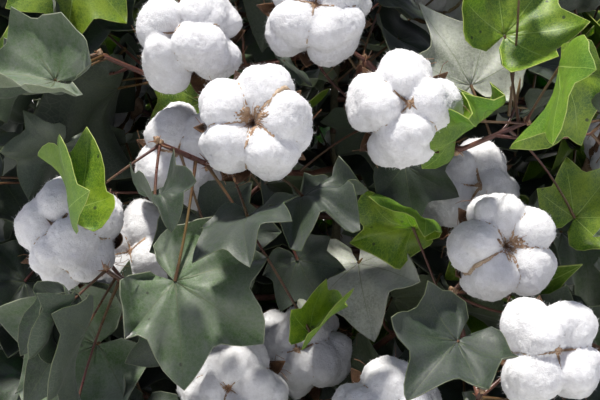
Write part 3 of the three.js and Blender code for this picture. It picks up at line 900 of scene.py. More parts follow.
print("cells in the camera's view", len(camera_sight().x))

# %% [markdown]
# A cell that is still open gets tries for a leaf on the nearest wood, at a depth that is drawn. A
# leaf is kept where it faces the eye well enough and has room.

# %% A leaf that closes a gap
FILL_TRIES = 7
FILL_STALK = (22, 150)
FILL_LENGTHS = (58, 104)
FILL_BLADE = 24
FACING = 0.4


def fill_leaf(sight, cell, depths, draws, wood, lengths=FILL_LENGTHS):
    middle = sight.point(cell, draws.between(*depths))
    away = np.linalg.norm(wood - middle, axis=1)
    close = np.flatnonzero((away > FILL_STALK[0] + FILL_BLADE) & (away < FILL_STALK[1] + FILL_BLADE))
    if not len(close) or not in_crown(middle[None] * (1.1, 1.1, 1.05)):
        return None
    root = wood[close[np.argmin(away[close] + np.array([draws.between(0, 60) for _ in close]))]]
    outward = bearing_of(middle - root)
    for _ in range(FILL_TRIES):
        length = draws.between(*lengths)
        bearing = outward + draws.between(-110, 110)
        pitch = draws.between(-75, 15)
        roll = draws.between(-60, 60)
        leaf = Leaf(root, middle, bearing, pitch, roll, length, draws.between(0.08, 0.3))
        joint = middle - leaf.midrib * LEAF_MIDDLE * length
        leaf = Leaf(root, joint, bearing, pitch, roll, length, leaf.droop)
        if abs(leaf.face @ sight.back) < FACING:
            continue
        if leaf.midrib @ unit(joint - root) < LEAF_SHARPEST * 2:
            continue
        if taken.is_clear(leaf, fine=True):
            return leaf
    return None


def close_gaps(sight, others, tries, depths, seed, finish=None, form=None):
    for boll in bolls:
        sight.cover_ball(boll["centre"], BOLL_RADIUS * 0.96)
    for leaf in taken.leaves:
        sight.cover_leaf(leaf)
    draws = Draws(173, seed)
    at_first = sight.open.sum()
    count = 0
    for _ in range(tries):
        cells = np.flatnonzero(sight.open)
        if not len(cells):
            break
        leaf = fill_leaf(sight, draws.pick(cells), depths, draws, wood)
        if leaf:
            keep_leaf(leaf, finish, form)
            count += 1
            for other in (sight, *others):
                other.cover_leaf(leaf)
    print("view", seed, "open cells", at_first, "->", sight.open.sum(), "new leaves", count)


STEM_WOOD = (240, STEM_HEIGHT, 24)


def wood_points():
    """Places on the wood where the stalk of a leaf that closes a gap may start."""
    points = []
    for branch in branches:
        line = branch.twig_line()
        for a, b in zip(line, line[1:]):
            points += [along(a, b, 0.3), along(a, b, 0.7), b]
    points += [p for branch in branches for p in branch.bough_line()[1:]]
    points += [along(*twig, t) for twig in side_twigs for t in (0.35, 0.7, 1.0)]
    points += [stem_centre(z) for z in range(*STEM_WOOD)]
    return np.array(points)


wood = wood_points()
print("places on the wood", len(wood))

# %% [markdown]
# The camera's view is closed first, with leaves of the dark finish, which is painted shade, since
# they stand in shade. Then come seven views from around the plant, and a last one from the camera,
# again with the dark finish as painted shade, that counts only the middle of each blade as cover,
# because a curled blade hides less than its outline says.

# %% Close the gaps from all sides
CAMERA_TRIES = 2200
CAMERA_DEPTHS = (-300, 110)
ROUND_VIEWS = 8
ROUND_RISE = 8
ROUND_GRID = (370, 480, 20)
ROUND_TRIES = 420
ROUND_DEPTHS = (-120, 250)
FAR_AWAY = 20000
BEHIND_COVER = 0.68
BEHIND_TRIES = 1300
BEHIND_DEPTHS = (-330, -60)

from_camera = camera_sight()
close_gaps(from_camera, (), CAMERA_TRIES, CAMERA_DEPTHS, 0, "dark")
for turn in range(1, ROUND_VIEWS):
    back = heading(-90 + turn * 360 / ROUND_VIEWS, ROUND_RISE)
    sight = Sight(back, FAR_AWAY, UP * CROWN_CENTRE, *ROUND_GRID)
    close_gaps(sight, (from_camera,), ROUND_TRIES, ROUND_DEPTHS, turn)
behind = camera_sight(BEHIND_COVER)
close_gaps(behind, (), BEHIND_TRIES, BEHIND_DEPTHS, ROUND_VIEWS, "dark", "flat")

# %% [markdown]
# A few holes are still seen where blades curl away. Only small leaves that turn their face to the
# eye fit behind them.

# %% Small leaves behind the last holes
# Places in the view's plane, in mm right and up of the aim.
SEEN_GAPS = ((20, 60), (-259, 67), (-170, 152), (-175, 158), (239, 23))
SMALL_LENGTHS = (36, 62)
SMALL_TRIES = 160
SMALL_DEPTHS = (-330, 60)
SMALL_FACING = 0.6
SMALL_LEAVES = 3
draws = Draws(191)
for right, up in SEEN_GAPS:
    cell = int(np.argmin(np.hypot(behind.x - right, behind.y - up)))
    found = 0
    for _ in range(SMALL_TRIES):
        leaf = fill_leaf(behind, cell, SMALL_DEPTHS, draws, wood, SMALL_LENGTHS)
        if leaf and abs(leaf.face @ behind.back) > SMALL_FACING:
            # The dark finish on these small leaves is painted shade.
            keep_leaf(leaf, "dark", "flat")
            found += 1
        if found == SMALL_LEAVES:
            break
    print("hole at", right, up, "small leaves", found)
print("leaves in all", len(taken.leaves))

# %% [markdown]
# ## Finishes
#
# Each finish is a Principled shader. Patchy colour, fine grain and the net of small veins are
# wanted in many of them, so each of these effects is one node group with named inputs, placed in a
# material with its own values. They read Object coordinates, in metres, so a size of 0.02 is a
# patch of 20 mm on any piece.


# %% Nodes that the finishes are made of
def effect_group(name, inputs, output, kind):
    group = bpy.data.node_groups.new(name, "ShaderNodeTree")
    for label, socket_kind, value in inputs:
        socket = group.interface.new_socket(label, in_out="INPUT", socket_type="NodeSocket" + socket_kind)
        socket.default_value = value
    group.interface.new_socket(output, in_out="OUTPUT", socket_type="NodeSocket" + kind)
    result = group.nodes.new("NodeGroupOutput").inputs[output]
    return group, group.nodes.new("NodeGroupInput").outputs, result


def add_node(tree, kind, sockets, **settings):
    """A node with its settings. Each socket named is linked to a source or set to a value."""
    node = tree.nodes.new(kind)
    for name, value in settings.items():
        setattr(node, name, value)
    for label, value in sockets.items():
        if isinstance(value, bpy.types.NodeSocket):
            tree.links.new(value, node.inputs[label])
        else:
            node.inputs[label].default_value = value
    return node


def math_node(tree, operation, first, second):
    node = add_node(tree, "ShaderNodeMath", {0: first, 1: second}, operation=operation)
    return node.outputs["Value"]


def object_place(tree):
    return tree.nodes.new("ShaderNodeTexCoord").outputs["Object"]


def noise_node(tree, size, detail):
    """A noise on Object coordinates whose features are about size metres across."""
    scale = math_node(tree, "DIVIDE", 1.0, size)
    sockets = {"Vector": object_place(tree), "Detail": detail, "Scale": scale}
    return add_node(tree, "ShaderNodeTexNoise", sockets).outputs["Fac"]


def spread(tree, value, low, high, new_low=0.0, new_high=1.0):
    sockets = {"Value": value, "From Min": low, "From Max": high, "To Min": new_low, "To Max": new_high}
    return add_node(tree, "ShaderNodeMapRange", sockets).outputs["Result"]


# The mix node has a set of sockets for each kind of data. These are the ones for colours.
MIX_SHARE, MIX_FIRST, MIX_SECOND, MIX_RESULT = 0, 6, 7, 2


def colour_mix(tree, share, first, second):
    sockets = {MIX_SHARE: share, MIX_FIRST: first, MIX_SECOND: second}
    return add_node(tree, "ShaderNodeMix", sockets, data_type="RGBA").outputs[MIX_RESULT]


# %% [markdown]
# A blade is paler in patches, with fine specks, and a bark has grain of two sizes. A picture could
# be laid over them, but a noise has no seams and fits a piece of any size. The vein net follows the
# blade, so it alone reads the blade's own UV map.

# %% Effects shared by the finishes
NOISE_RANGE = (0.3, 0.7)
SPECK_SHARE = 0.25
COARSE_GRAIN = 5.0


def make_patchy():
    inputs = [("Dark", "Color", (0, 0, 0, 1)), ("Light", "Color", (1, 1, 1, 1))]
    inputs += [("Patch Size", "Float", 0.03), ("Speck Size", "Float", 0.003)]
    group, given, result = effect_group("patchy colour", inputs, "Color", "Color")
    patches = noise_node(group, given["Patch Size"], 3.0)
    specks = noise_node(group, given["Speck Size"], 2.0)
    broad = spread(group, patches, *NOISE_RANGE)
    fine = spread(group, specks, *NOISE_RANGE, -SPECK_SHARE, SPECK_SHARE)
    colour = colour_mix(group, math_node(group, "ADD", broad, fine), given["Dark"], given["Light"])
    group.links.new(colour, result)
    return group


def make_grain():
    inputs = [("Size", "Float", 0.002), ("Coarse Share", "Float", 0.4)]
    group, given, result = effect_group("grain", inputs, "Height", "Float")
    fine = noise_node(group, given["Size"], 4.0)
    coarse = noise_node(group, math_node(group, "MULTIPLY", given["Size"], COARSE_GRAIN), 2.0)
    weighed = math_node(group, "MULTIPLY", coarse, given["Coarse Share"])
    group.links.new(math_node(group, "ADD", fine, weighed), result)
    return group


def make_vein_net():
    inputs = [("Cells", "Float", 14.0), ("Width", "Float", 0.05)]
    group, given, result = effect_group("vein net", inputs, "Mask", "Float")
    place = add_node(group, "ShaderNodeUVMap", {}, uv_map="blade").outputs["UV"]
    sockets = {"Vector": place, "Scale": given["Cells"]}
    cells = add_node(group, "ShaderNodeTexVoronoi", sockets, feature="DISTANCE_TO_EDGE")
    inside = math_node(group, "DIVIDE", cells.outputs["Distance"], given["Width"])
    edge = math_node(group, "SUBTRACT", 1.0, inside)
    group.links.new(math_node(group, "MAXIMUM", edge, 0.0), result)
    return group


patchy = make_patchy()
grain = make_grain()
vein_net = make_vein_net()
print("effects", [g.name for g in (patchy, grain, vein_net)])

# %% [markdown]
# The shader's own sockets take the values that are the same all over, such as sheen and the light
# that soaks through. Base Color, Roughness and Normal come from nodes.


# %% One finish from the effects
COARSE_SHARE = 0.5
NET_CELLS = 34.0
NET_WIDTH = 0.09
NET_STRENGTH = 0.45
SPOT_SPACING = 0.016
SPOT_EDGE = (0.07, 0.11)
SPOT_STRENGTH = 0.85
GLOSS_PATCH = 0.012
BUMP_STRENGTH = 0.8


def placed(tree, group, **values):
    node = tree.nodes.new("ShaderNodeGroup")
    node.node_tree = group
    for label, value in values.items():
        node.inputs[label.replace("_", " ")].default_value = value
    return node.outputs[0]


def make_finish(name, dark, light, patch=0.03, speck=0.003, rough=(0.5, 0.7), grain_size=0.002,
                relief=0.00025, net=None, spots=None, **constants):
    material = bpy.data.materials.new(name)
    material.use_nodes = True
    tree = material.node_tree
    shader = tree.nodes["Principled BSDF"]
    for label, value in constants.items():
        shader.inputs[label.replace("_", " ")].default_value = value
    colour = placed(tree, patchy, Dark=(*dark, 1), Light=(*light, 1), Patch_Size=patch, Speck_Size=speck)
    height = placed(tree, grain, Size=grain_size, Coarse_Share=COARSE_SHARE)
    if net:
        mask = placed(tree, vein_net, Cells=NET_CELLS, Width=NET_WIDTH)
        colour = colour_mix(tree, math_node(tree, "MULTIPLY", mask, NET_STRENGTH), colour, (*net, 1))
    if spots:
        sockets = {"Vector": object_place(tree), "Scale": 1 / SPOT_SPACING}
        dots = add_node(tree, "ShaderNodeTexVoronoi", sockets)
        share = spread(tree, dots.outputs["Distance"], *SPOT_EDGE, SPOT_STRENGTH, 0.0)
        colour = colour_mix(tree, share, colour, (*spots, 1))
    tree.links.new(colour, shader.inputs["Base Color"])
    gloss = noise_node(tree, GLOSS_PATCH, 3.0)
    tree.links.new(spread(tree, gloss, *NOISE_RANGE, *rough), shader.inputs["Roughness"])
    sockets = {"Strength": BUMP_STRENGTH, "Distance": relief, "Height": height}
    bump = add_node(tree, "ShaderNodeBump", sockets)
    tree.links.new(bump.outputs["Normal"], shader.inputs["Normal"])
    return material


# %% [markdown]
# The leaves are blue-grey green from above with a short pale fur that turns silvery where the sun
# glances off it; the silvery finish paints that glint into a pale base colour, a painted highlight.
# Young ones are yellow-green, and backlit ones glow where light soaks through the blade: the bright
# finish's yellow-green is partly the young leaves' own colour and partly painted backlight.
# Those deep in the crown look nearly black-green. One patterned finish could cover them all, but
# the export loses where a pattern falls on a joined piece, so plain finishes are dealt out leaf by
# leaf. Each has four parts: the blade from above and from below, its veins and its rim.
# The nearly black-green of the leaves deep in the crown is the dark finish, which is painted shade.

# %% Finishes of the leaves
SOAK = {"Subsurface_Weight": 0.2, "Subsurface_Radius": (0.6, 1.0, 0.2), "Subsurface_Scale": 0.0015}
GLOW = {"Subsurface_Weight": 0.6, "Subsurface_Radius": (0.7, 1.0, 0.15), "Subsurface_Scale": 0.003}
PART_ROUGHNESS = {"underside": (0.5, 0.7), "vein": (0.45, 0.6), "rim": (0.3, 0.5)}
# For each finish and part: the dark, light and net colours, and what else differs.
# Each rim is paler than its blade: a painted highlight where the curled edge catches the sun.
LEAF_LOOKS = {
    "grey": {
        "blade": ((0.036, 0.084, 0.014), (0.106, 0.13, 0.094), (0.13, 0.17, 0.1),
                  dict(patch=0.022, rough=(0.5, 0.68), spots=(0.02, 0.022, 0.012), Sheen_Weight=0.35)),
        "underside": ((0.07, 0.1, 0.048), (0.125, 0.16, 0.085), (0.18, 0.21, 0.13),
                      dict(Sheen_Weight=0.15)),
        "vein": ((0.062, 0.085, 0.04), (0.1, 0.12, 0.06), None, {}),
        "rim": ((0.12, 0.15, 0.085), (0.25, 0.27, 0.19), None, {}),
    },
    # Dark finish: a nearly black base colour that is painted shade, for leaves that stand in shade.
    "dark": {
        "blade": ((0.01, 0.026, 0.007), (0.03, 0.04, 0.034), (0.06, 0.08, 0.045),
                  dict(patch=0.024, rough=(0.5, 0.7), Sheen_Weight=0.12)),
        "underside": ((0.024, 0.04, 0.022), (0.046, 0.064, 0.04), (0.09, 0.11, 0.07),
                      dict(Sheen_Weight=0.1)),
        "vein": ((0.035, 0.05, 0.022), (0.06, 0.075, 0.036), None, {}),
        "rim": ((0.04, 0.06, 0.022), (0.1, 0.115, 0.06), None, {}),
    },
    # Bright finish: yellow-green that is partly the young leaves' own colour and partly painted light
    # soaking through a backlit blade.
    "bright": {
        "blade": ((0.045, 0.11, 0.004), (0.16, 0.24, 0.008), (0.28, 0.38, 0.04),
                  dict(patch=0.02, rough=(0.42, 0.62), spots=(0.02, 0.03, 0.01), Sheen_Weight=0.0)),
        "underside": ((0.048, 0.12, 0.003), (0.12, 0.205, 0.008), (0.19, 0.29, 0.05),
                      dict(Sheen_Weight=0.0)),
        "vein": ((0.19, 0.29, 0.05), (0.28, 0.38, 0.09), None, {}),
        "rim": ((0.22, 0.3, 0.04), (0.4, 0.45, 0.13), None, dict(rough=(0.35, 0.55))),
    },
    # Silvery finish: the sun's glint on the fur, painted into a pale base colour as a painted highlight.
    "silver": {
        "blade": ((0.22, 0.24, 0.19), (0.46, 0.48, 0.42), (0.5, 0.52, 0.44),
                  dict(rough=(0.45, 0.62), grain_size=0.0012, relief=0.0003, Sheen_Weight=0.35)),
        "underside": ((0.09, 0.12, 0.075), (0.16, 0.19, 0.13), (0.22, 0.25, 0.17),
                      dict(Sheen_Weight=0.2)),
        "vein": ((0.19, 0.215, 0.145), (0.29, 0.31, 0.23), None, {}),
        "rim": ((0.24, 0.26, 0.18), (0.36, 0.37, 0.28), None, {}),
    },
}


def make_leaf_finish(finish, part, dark, light, net, others):
    name = f"{finish} leaf" if part == "blade" else f"{finish} leaf {part}"
    soaking = (GLOW if finish == "bright" else SOAK) if net else {}
    options = {"rough": PART_ROUGHNESS.get(part), **others, **soaking}
    return make_finish(name, dark, light, net=net, **options)


leaf_finishes = {
    finish: {part: make_leaf_finish(finish, part, *look) for part, look in looks.items()}
    for finish, looks in LEAF_LOOKS.items()
}
print("leaf finishes", list(leaf_finishes))

# %% [markdown]
# ## The blade of a leaf
#
# A cotton blade has five lobes round the place where its stalk joins, with a main vein out to each
# lobe's tip. It could be a flat picture on a card, but folds, curls and thin lit rims are what the
# eye reads, so the blade is a closed thin mesh. Its rows and columns run along rays from the joint,
# so each main vein is a narrow strip of faces, and the outermost strip is the rim, whose pale finish
# is a painted highlight where the curled edge catches the sun.

# %% Forms of the blade
LOBES = ((0, 1.0), (50, 0.86), (96, 0.60))
LOBE_FALL = 58
BASE_DEGREES = (0, 96, 124, 145, 160, 170)
BASE_SHARES = (0.3, 0.45, 0.47, 0.43, 0.33, 0.16)
VEIN_DEGREES = (0, 50, 96)
FINE_COLUMNS = (0, 4, 9, 15, 21, 27, 33, 39, 45, 50, 56, 63, 70, 79, 88)
FINE_COLUMNS += (96, 105, 116, 128, 140, 153, 167)
PLAIN_COLUMNS = (0, 13, 28, 40, 50, 62, 77, 96, 116, 140, 166)
FINE_ROWS = (0.015, 0.15, 0.32, 0.5, 0.66, 0.8, 0.91, 0.993, 1.0)
PLAIN_ROWS = (0.015, 0.4, 0.78, 0.99, 1.0)
VEIN_HALF_WIDTH = 0.006
BLADE_THICKNESS = 0.008
BLADE_DROOP = 0.18

# Each form: the fold along the midrib in degrees, the bend towards the tip, the upturn of the
# margin, the height and number of its waves, and the roll of the side lobes.
LEAF_FORMS = {
    "flat": ((8, 0.35, 0.1, 0.035, 5, 0.25), (-6, -0.3, 0.13, 0.04, 6, 0), (12, 0.7, 0.09, 0.035, 4, -0.35)),
    "wavy": ((10, 0.7, 0.16, 0.07, 5, 0.5), (4, 0.4, 0.18, 0.08, 7, -0.5), (18, -0.6, 0.14, 0.07, 6, 0.6)),
    "folded": ((46, 0.5, 0.1, 0.05, 6, 0), (60, 0.9, 0.11, 0.055, 5, 0.4), (36, -0.6, 0.14, 0.055, 7, 0.5)),
    "curled":
        ((14, 1.8, 0.24, 0.065, 5, 1.1), (-12, 1.3, 0.26, 0.07, 6, 1.5), (24, -1.5, 0.22, 0.065, 7, -1)),
}
QUILT = 0.035
PLEAT = 0.028
MARGIN_START = 0.7
BEND_START = 0.12
FOLD_WIDTH = 0.12
ROLL_START = 0.2
OUTLINE_BLEND = 12
LOBE_LENGTHS = (0.9, 1.1)


def bent(x, y, share, degrees, form, phase):
    """Where a point of the flat blade goes when the blade waves, folds and curls."""
    fold, bend, upturn, wave, waves, roll = form
    turn = np.radians(degrees)
    z = BLADE_DROOP * (LEAF_MIDDLE - np.hypot(x - LEAF_MIDDLE, y))
    ripple = np.sin(waves * turn + phase) + 0.6 * np.sin(1.7 * waves * turn + 2.1 * phase)
    z = z + wave * share**2 * ripple
    z = z + QUILT * np.sin(5.5 * x + phase) * np.cos(5 * y + 2 * phase)
    margin = np.clip((share - MARGIN_START) / (1 - MARGIN_START), 0, 1) ** 2
    z = z + upturn * margin * (0.6 + 0.4 * np.sin(2 * turn + phase))
    z = z + PLEAT * share * np.abs(np.sin(turn * 3.6)) * (1.2 - share)
    rolled = roll * np.maximum(0, np.abs(y) - ROLL_START)
    angle = np.radians(fold) * np.tanh(np.abs(y) / FOLD_WIDTH) + rolled
    y, z = y * np.cos(angle), z + np.abs(y) * np.sin(angle)
    along_blade = np.maximum(0, x - BEND_START)
    arc = bend * along_blade
    drop = np.where(np.abs(arc) > 1e-6, (1 - np.cos(arc)) / bend, 0)
    run = np.where(np.abs(arc) > 1e-6, np.sin(arc) / bend, along_blade)
    x = np.minimum(x, BEND_START) + run + z * np.sin(arc)
    return np.stack([x, y, z * np.cos(arc) - drop], axis=-1)


def blade_columns(columns):
    """Column bearings in degrees from notch to notch, and the side of a vein that each is."""
    half = [d for d in columns if d > 0]
    rows = []
    for d in [-d for d in reversed(half)] + [0] + half:
        rows += [(d, -1), (d, 1)] if abs(d) in VEIN_DEGREES else [(d, 0)]
    return np.array(rows, dtype=float).T


def blade_reach(degrees, lengths):
    """The blade's outline: each lobe falls off to both sides of its tip, blended into the base."""
    total = np.interp(np.abs(degrees), BASE_DEGREES, BASE_SHARES) ** OUTLINE_BLEND
    tips = [(-b, s) for b, s in LOBES[:0:-1]] + list(LOBES)
    for (bearing, share), length in zip(tips, lengths):
        lobe = share * length * np.exp(-abs(degrees - bearing) / LOBE_FALL)
        total = total + lobe**OUTLINE_BLEND
    return total ** (1 / OUTLINE_BLEND)


print("a plain blade reaches", blade_reach(np.array([0, 25, 50, 96, 160]), [1] * 5).round(2))

# %% [markdown]
# Each form gives three blades with few faces for the far sides and three finer ones for the close
# view. The marks on their faces say which are vein, rim and underside, so that a tree can later
# give each its own finish.


# %% Blades as closed meshes
def grid_edge(rows, columns):
    """The outer points of a grid of points, in order round it."""
    last = rows * columns
    ring = list(range(columns)) + [i * columns + columns - 1 for i in range(1, rows)]
    ring += list(range(last - 2, last - columns - 1, -1))
    return ring + [i * columns for i in range(rows - 2, 0, -1)]


def grid_quads(rows, columns):
    """Each face between the points of a grid: its row, its column and its corners in order."""
    for i in range(rows - 1):
        for j in range(columns - 1):
            a = i * columns + j
            yield i, j, (a, a + 1, a + columns + 1, a + columns)


def blade_mesh(name, form, columns, rows, seed):
    draws = Draws(61, seed)
    lobes = [draws.between(*LOBE_LENGTHS) for _ in range(5)]
    phase = draws.between(0, 6.28)
    degrees, edge = blade_columns(columns)
    reach = blade_reach(degrees, lobes)
    share = np.array(rows)[:, None]
    turn = np.radians(degrees)
    width = VEIN_HALF_WIDTH * (1 - 0.75 * share) * edge
    x = share * reach * np.cos(turn) - width * np.sin(turn)
    y = share * reach * np.sin(turn) + width * np.cos(turn)
    sheet = bent(x, y, share, degrees[None, :] + 0 * share, form, phase)
    across = np.gradient(sheet, axis=1)
    outward = np.gradient(sheet, axis=0)
    normal = np.cross(outward, across)
    normal /= np.linalg.norm(normal, axis=2, keepdims=True) + 1e-12
    top = sheet + normal * BLADE_THICKNESS / 2
    low = sheet - normal * BLADE_THICKNESS / 2
    n_rows, n_cols = x.shape
    size = n_rows * n_cols
    faces, kinds = [], []
    for i, j, (a, b, c, d) in grid_quads(n_rows, n_cols):
        on_vein = edge[j] == -1 and edge[j + 1] == 1
        # The outermost row and the sides are the rim, whose paler finish is a painted highlight.
        kind = "rim" if i == n_rows - 2 else "vein" if on_vein else ""
        faces += [(a, d, c, b), (size + a, size + b, size + c, size + d)]
        kinds += [kind, kind or "under"]
    ring = grid_edge(n_rows, n_cols)
    for a, b in zip(ring, ring[1:] + ring[:1]):
        faces.append((a, b, size + b, size + a))
        kinds.append("rim")
    mesh = bpy.data.meshes.new(name)
    mesh.from_pydata(np.concatenate([top.reshape(-1, 3), low.reshape(-1, 3)]).tolist(), [], faces)
    for kind in ("under", "vein", "rim"):
        mark = mesh.attributes.new(kind, "BOOLEAN", "FACE")
        mark.data.foreach_set("value", [k == kind for k in kinds])
    flat = np.concatenate([np.stack([x, y], axis=-1).reshape(-1, 2)] * 2)
    corners = np.zeros(len(mesh.loops), dtype=np.int32)
    mesh.loops.foreach_get("vertex_index", corners)
    mesh.uv_layers.new(name="blade").data.foreach_set("uv", (flat[corners] + seed * 1.7).ravel())
    mesh.polygons.foreach_set("use_smooth", [True] * len(mesh.polygons))
    return mesh


def make_leaf_kinds():
    kinds = bpy.data.collections.new("leaf kinds")
    places = {}
    number = 0
    for detail, (columns, rows) in enumerate(((PLAIN_COLUMNS, PLAIN_ROWS), (FINE_COLUMNS, FINE_ROWS))):
        for form, variants in LEAF_FORMS.items():
            for variant in variants:
                name = f"leaf_kind_{number:02d}"
                mesh = blade_mesh(name, variant, columns, rows, len(places.get((form, 0), ())) + 3)
                kinds.objects.link(bpy.data.objects.new(name, mesh))
                places.setdefault((form, detail), []).append(number)
                number += 1
    return kinds, places


leaf_kinds, kind_places = make_leaf_kinds()
face_counts = [len(kind.data.polygons) for kind in leaf_kinds.objects]
print("leaf kinds", len(face_counts), "faces of a plain and a fine one", face_counts[::12])

# %% [markdown]
# ## Dealing out the leaves
#
# A Geometry Nodes tree places a leaf kind on every point, turned and sized by what is stored on the
# point, makes the instances real and sets the materials by the marks on their faces. One object for
# each finish holds the points of its leaves.


# %% Trees that place and dress shapes
def nodes_tree(name, inputs):
    tree = bpy.data.node_groups.new(name, "GeometryNodeTree")
    tree.interface.new_socket("Geometry", in_out="INPUT", socket_type="NodeSocketGeometry")
    for label, kind, value in inputs:
        socket = tree.interface.new_socket(label, in_out="INPUT", socket_type="NodeSocket" + kind)
        if value is not None:
            socket.default_value = value
    tree.interface.new_socket("Geometry", in_out="OUTPUT", socket_type="NodeSocketGeometry")
    return tree, tree.nodes.new("NodeGroupInput").outputs


def close_tree(tree, geometry):
    result = tree.nodes.new("NodeGroupOutput")
    tree.links.new(geometry, result.inputs["Geometry"])
    return tree


def stored(tree, name, kind):
    node = add_node(tree, "GeometryNodeInputNamedAttribute", {"Name": name}, data_type=kind)
    return node.outputs["Attribute"]


def instances_on(tree, points, shapes, turn, size):
    """Puts one of a collection's shapes on every point."""
    sockets = {"Collection": shapes, "Separate Children": True, "Reset Children": True}
    info = add_node(tree, "GeometryNodeCollectionInfo", sockets)
    sockets = {"Points": points, "Instance": info.outputs["Instances"], "Pick Instance": True,
               "Rotation": turn, "Scale": size}
    return add_node(tree, "GeometryNodeInstanceOnPoints", sockets)


def dressed(tree, geometry, material, mark=None):
    sockets = {"Geometry": geometry, "Material": material}
    if mark:
        sockets["Selection"] = stored(tree, mark, "BOOLEAN")
    return add_node(tree, "GeometryNodeSetMaterial", sockets).outputs["Geometry"]


def realized(tree, geometry):
    return add_node(tree, "GeometryNodeRealizeInstances", {"Geometry": geometry}).outputs["Geometry"]


def grown(name, base, tree, **values):
    """Runs a tree on a mesh and returns a plain object with the result."""
    source = add_object(name + " source", base)
    modifier = source.modifiers.new("grow", "NODES")
    modifier.node_group = tree
    sockets = {s.name: s.identifier for s in tree.interface.items_tree if s.in_out == "INPUT"}
    for label, value in values.items():
        modifier[sockets[label.replace("_", " ")]] = value
    evaluated = source.evaluated_get(bpy.context.evaluated_depsgraph_get())
    mesh = bpy.data.meshes.new_from_object(evaluated)
    mesh.name = name
    bpy.data.objects.remove(source)
    return piece_of(name, mesh)


def piece_of(name, mesh, material=None):
    if material:
        mesh.materials.append(material)
    return add_object(name, mesh)


def triangles(mesh):
    return sum(len(p.vertices) - 2 for p in mesh.polygons)


def add_piece(piece, nodes):
    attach(piece, "root")
    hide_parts(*nodes)
    print(piece.name, triangles(piece.data), "triangles")


def remove_shapes(collection):
    for shape in list(collection.objects):
        bpy.data.objects.remove(shape)
    bpy.data.collections.remove(collection)


# %% [markdown]
# The leaves' points carry a kind, a turn and a size each. Shapes and finishes are inputs, so one
# tree serves every batch of leaves.


# %% The tree that places the leaves
def points_mesh(name, points, **attributes):
    mesh = bpy.data.meshes.new(name)
    mesh.from_pydata([tuple(p * MM) for p in points], [], [])
    for label, (kind, field, values) in attributes.items():
        mesh.attributes.new(label, kind, "POINT").data.foreach_set(field, np.array(values).ravel())
    return mesh


def make_leaf_tree():
    inputs = [("Kinds", "Collection", None)]
    inputs += [(part, "Material", None) for part in ("Blade", "Underside", "Vein", "Rim")]
    tree, given = nodes_tree("place leaves", inputs)
    turn = stored(tree, "turn", "QUATERNION")
    size = stored(tree, "size", "FLOAT_VECTOR")
    place = instances_on(tree, given["Geometry"], given["Kinds"], turn, size)
    tree.links.new(stored(tree, "kind", "INT"), place.inputs["Instance Index"])
    geometry = realized(tree, place.outputs["Instances"])
    for part, mark in (("Blade", None), ("Underside", "under"), ("Vein", "vein"), ("Rim", "rim")):
        geometry = dressed(tree, geometry, given[part], mark)
    return close_tree(tree, geometry)


leaf_tree = make_leaf_tree()
print("leaf tree nodes", len(leaf_tree.nodes))

# %% [markdown]
# Which finish and form a leaf gets is a draw, weighted by how deep it sits in the crown: leaves
# inside are dark, a painted shade, and flat, and those outside are grey, bright or silvery and more
# curled. The silvery finish is a painted highlight and the bright one partly painted backlight. In
# the close view, the lower left and the upper right get mostly the dark finish as painted shade.

# %% Deal out finish and form
# The dark finish is painted shade, the silvery one a painted highlight, and the bright one partly painted
# backlight.
OUTER_FINISHES = ("grey",) * 10 + ("bright",) * 5 + ("silver",) * 2 + ("dark",) * 3
INNER_FINISHES = ("dark",) * 11 + ("grey",) * 7 + ("bright",) * 2
FRONT_FINISHES = ("grey",) * 7 + ("dark",) * 9 + ("bright",) * 2
SHADE_FINISHES = ("dark",) * 9 + ("bright",)
OUTER_FORMS = ("wavy",) * 4 + ("flat",) * 3 + ("folded",) * 2 + ("curled",) * 3
INNER_FORMS = ("flat",) * 4 + ("wavy",) * 4 + ("curled",)
DEEP_SHARE = 0.62
leaf_nodes = [n for n in frame["nodes"] if n.startswith("leaves_")]


def depth_share(point):
    out = math.hypot(point[0], point[1]) / CROWN_REACH
    return math.hypot(out, (point[2] - CROWN_CENTRE) / CROWN_HALF_HEIGHT)


def in_close_view(leaf):
    return leaf.middle[1] < 0 and 380 < leaf.middle[2] < 880


def in_shade_side(leaf):
    """The lower left and the upper right of what the camera sees lie in deep shade."""
    x, _, z = leaf.middle
    return in_close_view(leaf) and ((x < -120 and z < 650) or (x > 120 and z > 690))


def leaf_turn(leaf):
    axes = Matrix((leaf.midrib, leaf.across, leaf.face)).transposed()
    return tuple(axes.to_quaternion())


def leaf_size(leaf):
    return np.array((1, 1, min(1.5, max(0.7, leaf.droop / BLADE_DROOP)))) * leaf.length * leaf.share


def past_box(leaf, kind):
    """How far a leaf of this kind would stand out of the solids' box, in mm."""
    blade = kind_points[kind] * leaf_size(leaf)
    points = leaf.place(*blade.T)
    return max(0, (BOX_LOW - points).max(), (points - BOX_HIGH).max())


kind_points = [np.array([v.co for v in kind.data.vertices]) for kind in leaf_kinds.objects]
kept_in = 0
for i, leaf in enumerate(taken.leaves):
    draws = Draws(167, i)
    outer = depth_share(leaf.middle) > DEEP_SHARE
    choices = OUTER_FINISHES if outer else INNER_FINISHES
    if in_close_view(leaf):
        # The shaded sides get mostly the dark finish, as painted shade.
        choices = SHADE_FINISHES if in_shade_side(leaf) else FRONT_FINISHES
    leaf.finish = leaf.finish or draws.pick(choices)
    leaf.form = leaf.form or draws.pick(OUTER_FORMS if outer else INNER_FORMS)
    detail = 1 if in_close_view(leaf) else 0
    leaf.kind = draws.pick(kind_places[(leaf.form, detail)])
    if past_box(leaf, leaf.kind) > 0:
        others = [kind for form in LEAF_FORMS for kind in kind_places[(form, detail)]]
        leaf.kind = min(others, key=lambda kind: past_box(leaf, kind))
        kept_in += 1
print("leaves with another form to stay in reach", kept_in)
print("farthest past the box", round(max(past_box(leaf, leaf.kind) for leaf in taken.leaves), 1), "mm")

